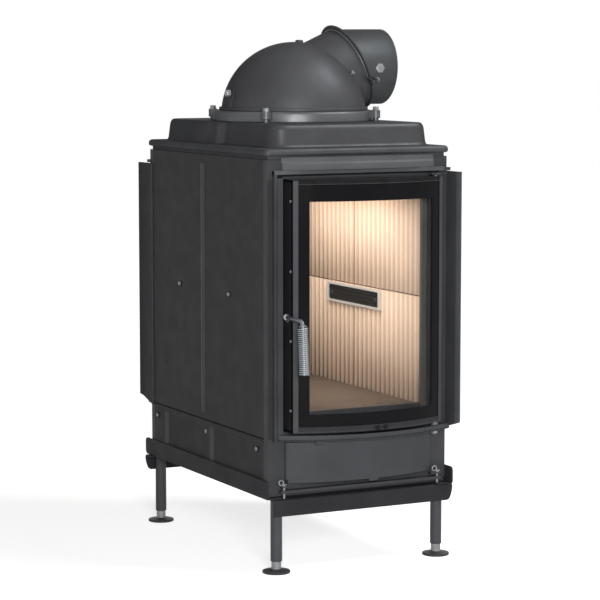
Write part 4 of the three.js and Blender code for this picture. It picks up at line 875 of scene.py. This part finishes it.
def hingeParts(v, f, l):
    x, y, pin, barrel, root = pick(v, "x y pin barrel root")
    at, high, tip, foot = (x, y, 0), f["collarHigh"], l["high"] - 41, f["ledgeLow"] - 11
    deck, seat = f["ledgeLow"] + f["ledgeThick"] + f["sink"], l["low"] + 10.7
    head = prism([(x - 12, root), (x - 12, y - 3), (x - 6, y - 9), (x + 6, y - 9), (x + 12, y - 3),
                  (x + 12, root)], l["high"] + 1, high)
    top = [mark(head, 1), turned([(0, tip), (pin - 0.5, tip), (pin, tip + 1), (pin, high - 1),
                                  (0, high - 1)], at, steps=24)]
    low = [hexBolt((x, y, f["ledgeLow"] - f["sink"]), (0, 0, -1), barrel + 1.5, 8.7),
           turned([(0, foot), (pin - 0.5, foot), (pin, foot + 0.7), (pin, seat + 28), (0, seat + 28)], at,
                  steps=24),
           turned([(0, deck), (barrel + 3, deck), (barrel + 3.5, deck + 1.5), (barrel + 0.6, seat - 5),
                   (barrel, seat - 3), (pin + 2, seat), (0, seat)], at, steps=32)]
    return top, low


def apronParts(v, f):
    face, half, thick, low, high = f["face"], v["half"], v["thick"], v["low"], v["high"]
    outer = arc(-half, half, face - 5, half, v["bow"])
    inner = arc(-half + thick, half - thick, face - 5, half - thick, v["bow"] - thick)
    lug, deep, back = low - 8, face - v["lugDeep"], face - f["sink"]
    parts = [prism(outer + inner[::-1], low, high), block(*v["tab"])]
    for x0, x1 in ((-half, -half + thick), (half - thick, half)):
        parts.append(block(x0, x1, face - 6.5, back, low, high))
    for x0, x1 in ((v["screws"][0] - 8, -half + 2), (half - 2, v["screws"][1] + 8)):
        parts.append(block(x0, x1, deep, back, lug, lug + 3))
    for x0, x1 in ((-half, -half + 2), (half - 2, half)):
        parts.append(block(x0, x1, deep, face - 3, lug, low + 10))
    return parts


def screwParts(v, x):
    # wing screw: shank, head, bar and ring
    y, head, low = v["screwY"], v["low"] - 4.7, v["screwLow"]
    ring = [[Vector((x - 8.5 + (6 + 1.9 * math.cos(b)) * math.cos(a), y - 2 + 1.9 * math.sin(b),
                     head + 9 + (6 + 1.9 * math.cos(b)) * math.sin(a))) for b in angles(10)]
            for a in angles(28)]
    return [turned([(0, low), (2.5, low), (3, low + 0.7), (3, head + 3), (0, head + 3)], (x, y, 0),
                   steps=24), peg(5, head, head + 3, (x, y, 0)),
            block(x - 6.5, x + 6.5, y - 3, y + 1, head + 2, head + 5), loft(ring, loop=True)]


handle = {"hubX": -200, "y": -361, "z": 609.6, "rod": 4.8, "rodX": -208, "gripY": -457, "lean": 8,
          "bend": 17, "top": 594, "bottom": 485, "mean": 10.6, "wire": 1.4, "turns": 24, "lowest": 486,
          "camReach": 17.5, "washerGap": 2.6}


def gripLine(v):
    foot = Vector((v["rodX"], v["gripY"] - v["lean"], v["bottom"] - 9))
    corner = Vector((v["rodX"], v["gripY"] + 1, v["z"]))
    drop = (foot - corner).normalized()
    bendOut = corner + drop * v["bend"]

    def along(z):
        return bendOut + drop * ((z - bendOut.z) / drop.z)
    return foot, corner, drop, bendOut, along


def handleParts(v):
    foot, corner, drop, bendOut, along = gripLine(v)
    bendIn = corner + Vector((0, v["bend"], 0))
    x, y, z, rod, rodX = pick(v, "hubX y z rod rodX")
    path = [(rodX + 4, y - 9, z), (rodX + 3, y - 20, z), (rodX, y - 38, z)]
    for i in range(17):
        t = i / 16
        path.append(bendIn * (1 - t) ** 2 + corner * 2 * t * (1 - t) + bendOut * t ** 2)
    end = foot - drop * ((v["lowest"] - 1 - foot.z) / -drop.z)
    path += [end - drop * 0.6, end]
    cam = [(y + v["camReach"] * math.cos(a), z + v["camReach"] * math.sin(a))
           for a in (math.radians(-5 - k * 4) for k in range(16))]
    cam += [(y - 3, z - 10), (y - 9, z), (y - 3, z + 9), (y + 5, z + 8)]
    # hub on the leaf's flank, and the washer above the spring
    right = (1, 0, 0)
    plate = [(0, -3.6), (10, -3.6), (11, -2.8), (11, -0.3), (0, -0.3)]
    boss = [(0, -8), (5.4, -8), (7.2, -6), (7.2, -3), (0, -3)]
    washer = [(0, -2), (rod + 4, -2), (rod + 4.5, -1.4), (rod + 4.5, 1.4), (rod + 4, 2), (0, 2)]
    return [tube(path, rod, 20),
            turned(plate, (x, y - 3, z - 2), right, 40), mark(turned(boss, (x, y - 2, z), right, 32), 2),
            mark(hexBolt((x - 7.6, y - 2, z), (-1, 0, 0), 4.4, 2.6), 2),
            peg(5, -1, 9, (x, y, z), right), prism(cam, x + 5, x + 9, "x"),
            turned(washer, along(v["top"] + v["wire"] + v["washerGap"]), drop, 32)]


def springParts(v):
    along = gripLine(v)[-1]
    start, finish = along(v["top"]), along(v["lowest"])
    side = Vector((1, 0, 0))
    other = (finish - start).normalized().cross(side).normalized()
    steps, path = 28, []
    count = v["turns"] * steps
    for i in range(count + 1):
        a = 2 * math.pi * i / steps
        path.append(start + (finish - start) * (i / count)
                    + side * v["mean"] * math.cos(a) + other * v["mean"] * math.sin(a))
    path.insert(0, path[0] + (path[0] - path[1]).normalized() * 2 * v["wire"])
    path.append(path[-1] + (path[-1] - path[-2]).normalized() * 2 * v["wire"])
    return [tube(path, v["wire"], 10)]


def doorPieces(side):
    # label, parts, looks, body, node it stands for, slot, and where needed its bevel and smoothing
    door, grip, nuts = f"{side}_door", f"{side}_handle", ["zincBright"]
    border, clear = glassParts(leaf, front)
    topHinge, lowHinge = hingeParts(hinge, front, leaf)
    leafLooks = ["castIron", "zincBright", "blackInside", "lintelIron", "railPaint"]
    rows = [("Lintel", lintelParts(lintelShape, front), ["lintelIron"], "casing", "lintel",
             "cast_frame", 1.5),
            ("Collar", collarParts(front), ["frontSheet", "wingPaint", "lintelIron"], "casing",
             "door_collar", "sheet_panel", 0.8),
            ("Leaf", leafParts(leaf, front, hinge), leafLooks, door, "door_leaf", "door_iron", 0.8),
            ("GlassBorder", border, ["printedBorder"], door, "door_glass", "door_glass"),
            ("GlassWindow", clear, ["clearGlass"], door, None, "door_glass"),
            ("HingeTop", topHinge, nuts + ["castIron"], "casing", "hinge_top", "zinc_screw", 0.5),
            ("HingeLow", lowHinge, nuts, "casing", "hinge_bottom", "zinc_screw"),
            ("Apron", apronParts(apronShape, front), ["frontSheet"], "casing", "apron", "sheet_panel", 0.8)]
    for hand, x in zip(("left", "right"), apronShape["screws"]):
        rows.append((f"WingScrew_{hand}", screwParts(apronShape, x), nuts, "casing",
                     f"apron_screw_{hand}", "zinc_screw", 0.4))
    return rows + [("Handle", handleParts(handle), ["handleSteel", "zincBright", "nozzleSteel"], grip,
                    "handle", "handle_steel"),
                   ("Spring", springParts(handle), ["springSteel"], grip, "grip_spring",
                    "spring_steel", 0, 80)]


for side in ("front", "rear"):
    for label, parts, looks, body, node, slot, *easing in doorPieces(side):
        build(side + label, parts, looks, body, [f"{side}_{node}"] if node else [], slot, side, *easing)
    print(side, "door and fittings built")


# ---- top slab and hood; each level is (height, how far it steps in)
slab = {"halfX": 248, "halfY": 345, "corner": 16, "low": 984, "top": 1000.5, "wayX": 174, "wayY": 279,
        "step": (-237, 237, -334, 334, 975.3, 985), "wayLow": 960, "wayHigh": 1020}
hood = {"halfX": 206, "halfY": 303, "jog": 14, "low": 1000.8, "top": 1054.8, "wall": 7, "corner": 46,
        "jogAt": (14, 34), "jogCorner": 8, "bore": 166, "boreLow": 1040, "boreHigh": 1060}


def slabShell(v):
    x, y, c, low, top = pick(v, "halfX halfY corner low top")
    corners = [(-x, -y, c), (x, -y, c), (x, y, c), (-x, y, c)]
    levels = [(low, 5), (low + 0.7, 2.6), (low + 2, 1), (low + 4.5, 0), (top - 8.2, 0), (top - 6, 0.3),
              (top - 3.5, 1.7), (top - 1.5, 4), (top - 0.4, 6.2), (top, 9)]
    shell = looseSolid("topSlab", [loft([rounded(corners, z, inset) for z, inset in levels])])
    cutWith(shell, [block(*v["step"])], "UNION")
    cutWith(shell, [block(-v["wayX"], v["wayX"], -v["wayY"], v["wayY"], v["wayLow"], v["wayHigh"])])
    return shell


def hoodSolid(v):
    x, y, j, c, low, top, wall = pick(v, "halfX halfY jog corner low top wall")
    (near, far), small = v["jogAt"], v["jogCorner"]
    corners = [(-x, -y, c), (x + j, -y, c), (x + j, near, small), (x, far, small), (x, y, c),
               (-x - j, y, c), (-x - j, -near, small), (-x, -far, small)]
    outside = [(low, -6), (low + 1, -4), (low + 3, -2), (low + 8, 0), (top - 14, 4), (top - 9, 5.3),
               (top - 5, 7.3), (top - 2.2, 9.8), (top - 0.6, 12.4), (top, 15)]
    inside = [(low - 1, wall), (top - 21, wall + 4), (top - wall, wall + 9)]
    shell = looseSolid("hoodShell", [loft([rounded(corners, z, inset) for z, inset in outside])])
    cutWith(shell, [loft([rounded(corners, z, inset) for z, inset in inside])])
    cutWith(shell, [turned([(v["bore"], v["boreLow"]), (v["bore"], v["boreHigh"])], steps=96)])
    return shell


finishPiece(slabShell(slab), ["castTop"], "casing", ["top_slab"], "cast_top", 0, 30)
finishPiece(hoodSolid(hood), ["hoodIron"], "casing", ["hood"], "cast_top", 0, 30)
print("top slab and hood cast")


# ---- flange ring with its four lugs
ring = {"radius": 199, "bore": 166, "low": 1055.1, "top": 1080.6, "lugs": 213, "lug": 11, "lugLow": 7,
        "bolt": 8, "boltHigh": 9}


def ringParts(v):
    low, top, r, bore, lug = pick(v, "low top radius bore lug")
    foot = low + v["lugLow"]
    parts = [turned([(bore, low), (r - 1, low), (r, low + 1), (r, top - 6), (r - 0.6, top - 4),
                     (r - 2, top - 2), (r - 4, top - 0.7), (r - 7, top), (bore, top)], steps=128,
                    closed=True)]
    for i in range(4):
        a = math.pi / 4 + i * math.pi / 2
        out, across = Vector((math.cos(a), math.sin(a), 0)), Vector((-math.sin(a), math.cos(a), 0))
        at = out * v["lugs"]
        corner = [out * (r - 6) - across * lug, at - across * lug, at + across * lug,
                  out * (r - 6) + across * lug]
        parts += [loft([[(p.x, p.y, z) for p in corner] for z in (foot, top)]),
                  turned([(0, foot), (lug - 1, foot), (lug, foot + 1), (lug, top + 0.7),
                          (lug - 0.8, top + 1.5), (0, top + 1.5)], at, steps=32),
                  peg(v["bolt"] - 1, low, low + 8, at),
                  mark(hexBolt(at + Vector((0, 0, top + 1)), (0, 0, 1), v["bolt"], v["boltHigh"], turn=a), 1)]
    return parts


build("ringCast", ringParts(ring), ["litRingIron", "zincBright"], "casing", ["flange_ring"], "cast_top",
      bevel=0.6)
print("flange ring set")


# ---- dome, neck and swivelling outlet
dome = {"radius": 180, "wall": 6, "centre": 1068.8, "foot": 1080.9, "footHigh": 8, "footOver": 5,
        "neck": 102, "neckLong": 90, "tilt": 24, "swivel": (150, 0, 1186.8), "strapY": -7,
        "strapWide": 17, "strapHigh": 3, "strapTop": 1136}
trim = {"strapBolt": (-178, -7, 1123), "knob": (16, 0, 1240), "neckBolt": (104, -101, 1166),
        "neckBoltWay": (0.5, -0.55, 0.67)}
tilt = math.radians(dome["tilt"])
neckWay = Vector((math.cos(tilt), 0, math.sin(tilt)))
neckUp = Vector((-math.sin(tilt), 0, math.cos(tilt)))
swivel = Vector(dome["swivel"])


def ball(radius, v, steps=96, rows=56):
    bends = [-math.pi / 2 + math.pi * i / rows for i in range(rows + 1)]
    return turned([(radius * math.cos(a), v["centre"] + radius * math.sin(a)) for a in bends], steps=steps)


def strapPart(v):
    r0, r1, z = v["radius"] - 2, v["radius"] + v["strapHigh"], v["centre"]
    low, high = math.asin((v["foot"] - z) / r1), math.asin((v["strapTop"] - z) / r1)
    rings = []
    for i in range(25):
        a = low + (high - low) * i / 24
        edge = []
        for radius, across in ((r0, -0.5), (r1, -0.5), (r1, 0.5), (r0, 0.5)):
            y = v["strapY"] + v["strapWide"] * across
            flat = math.sqrt(radius * radius - y * y)
            edge.append((-flat * math.cos(a), y, z + flat * math.sin(a)))
        rings.append(edge)
    return loft(rings)


def domeSolid(v):
    neck, long, low, wall = pick(v, "neck neckLong foot wall")
    start, mouth = swivel - neckWay * long, v["radius"] - wall - 1
    r, high = v["radius"] + v["footOver"], low + v["footHigh"]
    shell = looseSolid("domeShell", [ball(v["radius"], v)])
    cutWith(shell, [turned([(neck, 0), (neck, long)], start, neckWay, 96)], "UNION")
    cutWith(shell, [turned([(0, low), (r - 1, low), (r, low + 1), (r, high - 1.5), (r - 1.5, high),
                            (0, high)], steps=128)], "UNION")
    cutWith(shell, [ball(v["radius"] - wall, v, 64, 36)])
    cutWith(shell, [turned([(neck - wall, -3), (neck - wall, long + 5)], start, neckWay, 96)])
    cutWith(shell, [turned([(mouth, low - 5), (mouth, low + 9)], steps=96)])
    cutWith(shell, [block(-300, 300, -300, 300, 700, low)])
    return shell


def trimParts(v, d):
    at, way = v["neckBolt"], v["neckBoltWay"]
    knob = [(0, 0), (10, 0), (10, 11), (8.5, 13.2), (5, 13.8), (0, 13.8)]
    return [strapPart(d), mark(hexBolt(v["strapBolt"], (-1, 0, 0), 9, 12, 6), 1),
            turned(knob, v["knob"], steps=32), mark(peg(3.6, -6, 11, at, way, 20), 1),
            mark(hexBolt(Vector(at) + Vector(way) * 9.5, way, 6.2, 5, 6), 1)]


finishPiece(domeSolid(dome), ["castTop"], "dome", ["dome"], "cast_top", 0, 30)
build("domeTrim", trimParts(trim, dome), ["castTop", "zincBright"], "dome", [], "cast_top", bevel=0.5)
print("dome turned and trimmed")

band = {"bore": 103, "high": 10, "half": 4, "ear": 0.31, "ears": (-6, 3.5), "earThick": 2,
        "earFoot": 9, "earTip": 6, "screw": 123, "bead": 1.2}
outlet = {"radius": 94, "wall": 4, "end": 245, "straight": 212, "belly": 1.5, "rings": 20, "sides": 96,
          "bolt": (192, -94.5, 1184)}


def bandParts(v):
    bore, half, bead, screw = pick(v, "bore half bead screw")
    profile = []
    for i in range(13):
        a = math.pi * i / 12
        profile.append((bore + 2.5 + (v["high"] - 2.5) * math.sin(a), -half * math.cos(a)))
    profile += [(bore, half), (bore, -half)]
    # painted highlight: a bright zinc ring at the band's edge stands for the highlight along it
    joint = [(bore - 0.6 + bead * math.cos(a), -half - 0.2 + bead * math.sin(a)) for a in angles(8)]
    way = Matrix.Rotation(v["ear"], 3, neckWay) @ Vector((0, -1, 0))
    across = neckWay.cross(way)

    def at(out, ahead):
        return swivel + way * out + neckWay * ahead
    parts, thick = [turned(profile, swivel, neckWay, 128, closed=True)], v["earThick"]
    for ahead in v["ears"]:
        parts.append(loft([[at(out, ahead + step * thick) + across * (wide * hand) for step, hand in
                            ((-1, -1), (1, -1), (1, 1), (-1, 1))]
                           for out, wide in ((bore + 4, v["earFoot"]), (screw + 6, v["earTip"]))]))
    return parts + [turned([(0, -11), (4.4, -11), (4.4, 3), (3, 3), (3, 9), (0, 9)], at(screw, 0),
                           neckWay, 20),
                    mark(hexBolt(at(screw, 8.4), neckWay, 6.2, 4.4), 1),
                    mark(turned(joint, swivel, neckWay, 128, closed=True), 1)]


def outletRings(v, less):
    # the top line runs level from the band, so each ring leans from its own top to its own bottom point
    rings = []
    joint, level, steps, around = dome["neck"], v["radius"], v["rings"], angles(v["sides"])
    start = swivel + neckWay * 0.3
    topFrom, topTo = start + neckUp * joint, Vector((v["straight"], 0, swivel.z + level))
    lowFrom, lowTo = start - neckUp * joint, Vector((v["straight"], 0, swivel.z - level))
    for i in range(steps + 1):
        t = i / steps
        high, low = topFrom.lerp(topTo, t), lowFrom.lerp(lowTo, t)
        low -= Vector((0, 0, v["belly"] * math.sin(math.pi * t)))
        centre, up = (high + low) / 2, (high - low) / 2
        tall, wide = up.length - less, joint + (level - joint) * t - less
        up.normalize()
        rings.append([centre + Vector((0, wide * math.cos(a), 0)) + up * tall * math.sin(a)
                      for a in around])
    for back, r in ((1.2, level - less), (0, level - less - (0 if less else 1.0))):
        tail = Vector((v["end"] - back, 0, swivel.z))
        rings.append([tail + Vector((0, r * math.cos(a), r * math.sin(a))) for a in around])
    return rings


build("bandClamp", bandParts(band), ["castTop", "zincBright"], "dome", ["swivel_band"], "cast_top",
      bevel=0.3)
build("outletPipe", [loft(outletRings(outlet, 0) + outletRings(outlet, outlet["wall"])[::-1], loop=True),
                     mark(hexBolt(outlet["bolt"], (0, -1, 0), 12.5, 5, turn=math.pi / 2), 1)],
      ["outletIron", "zincBright"], "outlet", ["flue_outlet"], "outlet_sheet", smooth=40)
print("swivel band and outlet built")


# ---- leg frames and feet; a slant is (distance from the long end, how far the lower edge rises)
legs = {"x": 218, "y": -339, "radius": 14, "bore": 12.2, "bottom": 28, "railTop": 176.7, "railLow": 136,
        "railFace": -356.5, "railBack": -322.5, "thick": 4, "short": -232, "long": 254, "bend": 6,
        "slant": ((254, 0), (16, 0), (12, 0.8), (8, 3.5), (5, 9), (2.5, 17), (0.8, 24), (0, 29))}
foot = {"radius": 33, "thick": 6, "stem": 11.75, "stemTop": 110, "pitch": 2.4}


def railPart(v):
    # folded angle: face down, rounded bend, flange back; its long end is cut slanting
    top, face, back, t, r = pick(v, "railTop railFace railBack thick bend")
    inner, middle = r - t, (face + r, top - r)
    bends = [(r, math.pi / 2 * k / 7) for k in range(1, 7)]
    folds = [(inner, math.pi / 2 * (1 - k / 5)) for k in range(1, 5)]

    def turns(steps):
        return [(middle[0] - size * math.cos(a), middle[1] + size * math.sin(a)) for size, a in steps]
    upper = [(face, top - r)] + turns(bends) + [(face + r, top), (back, top), (back, top - t),
                                                (face + r, top - t)] + turns(folds) + [(face + t, top - r)]
    rings = []
    for x, rise in [(v["short"], 0)] + [(v["long"] - back, rise) for back, rise in v["slant"]]:
        low = v["railLow"] + rise
        rings.append([(x, y, z) for y, z in [(face, low)] + upper + [(face + t, low)]])
    return loft(rings)


def legTube(v, x):
    bore, r, low, top = v["bore"], v["radius"], v["bottom"], v["railTop"] - 1
    return turned([(bore, low), (r - 0.8, low), (r, low + 0.8), (r, top), (bore, top)], (x, v["y"], 0),
                  steps=48, closed=True)


for side in ("front", "rear"):
    tubes = [mark(legTube(legs, x), 1) for x in (-legs["x"], legs["x"])]
    build(f"{side}LegFrame", [railPart(legs)] + tubes, ["railPaint", "litLegPaint"], "casing",
          [f"leg_frame_{side}"], "rail_steel", side, smooth=30)


def footParts(v, x, y):
    r, t, s, top = pick(v, "radius thick stem stemTop")
    plate = [(0, 0), (r - 1, 0), (r - 0.3, 0.3), (r, 1), (r, t - 1.6), (r - 0.5, t - 0.6), (r - 3, t),
             (s + 2.5, t + 2), (s + 0.5, t + 3.5), (0, t + 3.5)]
    z = t + 3
    thread = [(0, z)]
    while z < top - 2:
        thread += [(s, z), (s, z + 1.1), (s - 0.7, z + 1.6), (s - 0.7, z + 1.9)]
        z += v["pitch"]
    thread += [(s - 1, top), (0, top)]
    return [turned(plate, (x, y, 0)), mark(turned(thread, (x, y, 0), steps=40), 1)]


for where, x, y in (("front_left", -1, 1), ("front_right", 1, 1), ("rear_right", 1, -1),
                    ("rear_left", -1, -1)):
    build(f"foot_{where}_turned", footParts(foot, x * legs["x"], y * legs["y"]),
          ["footRubbed", "stemSteel"], f"foot_{where}", [f"foot_{where}"], "foot_steel", smooth=50)
print("leg frames and feet built")
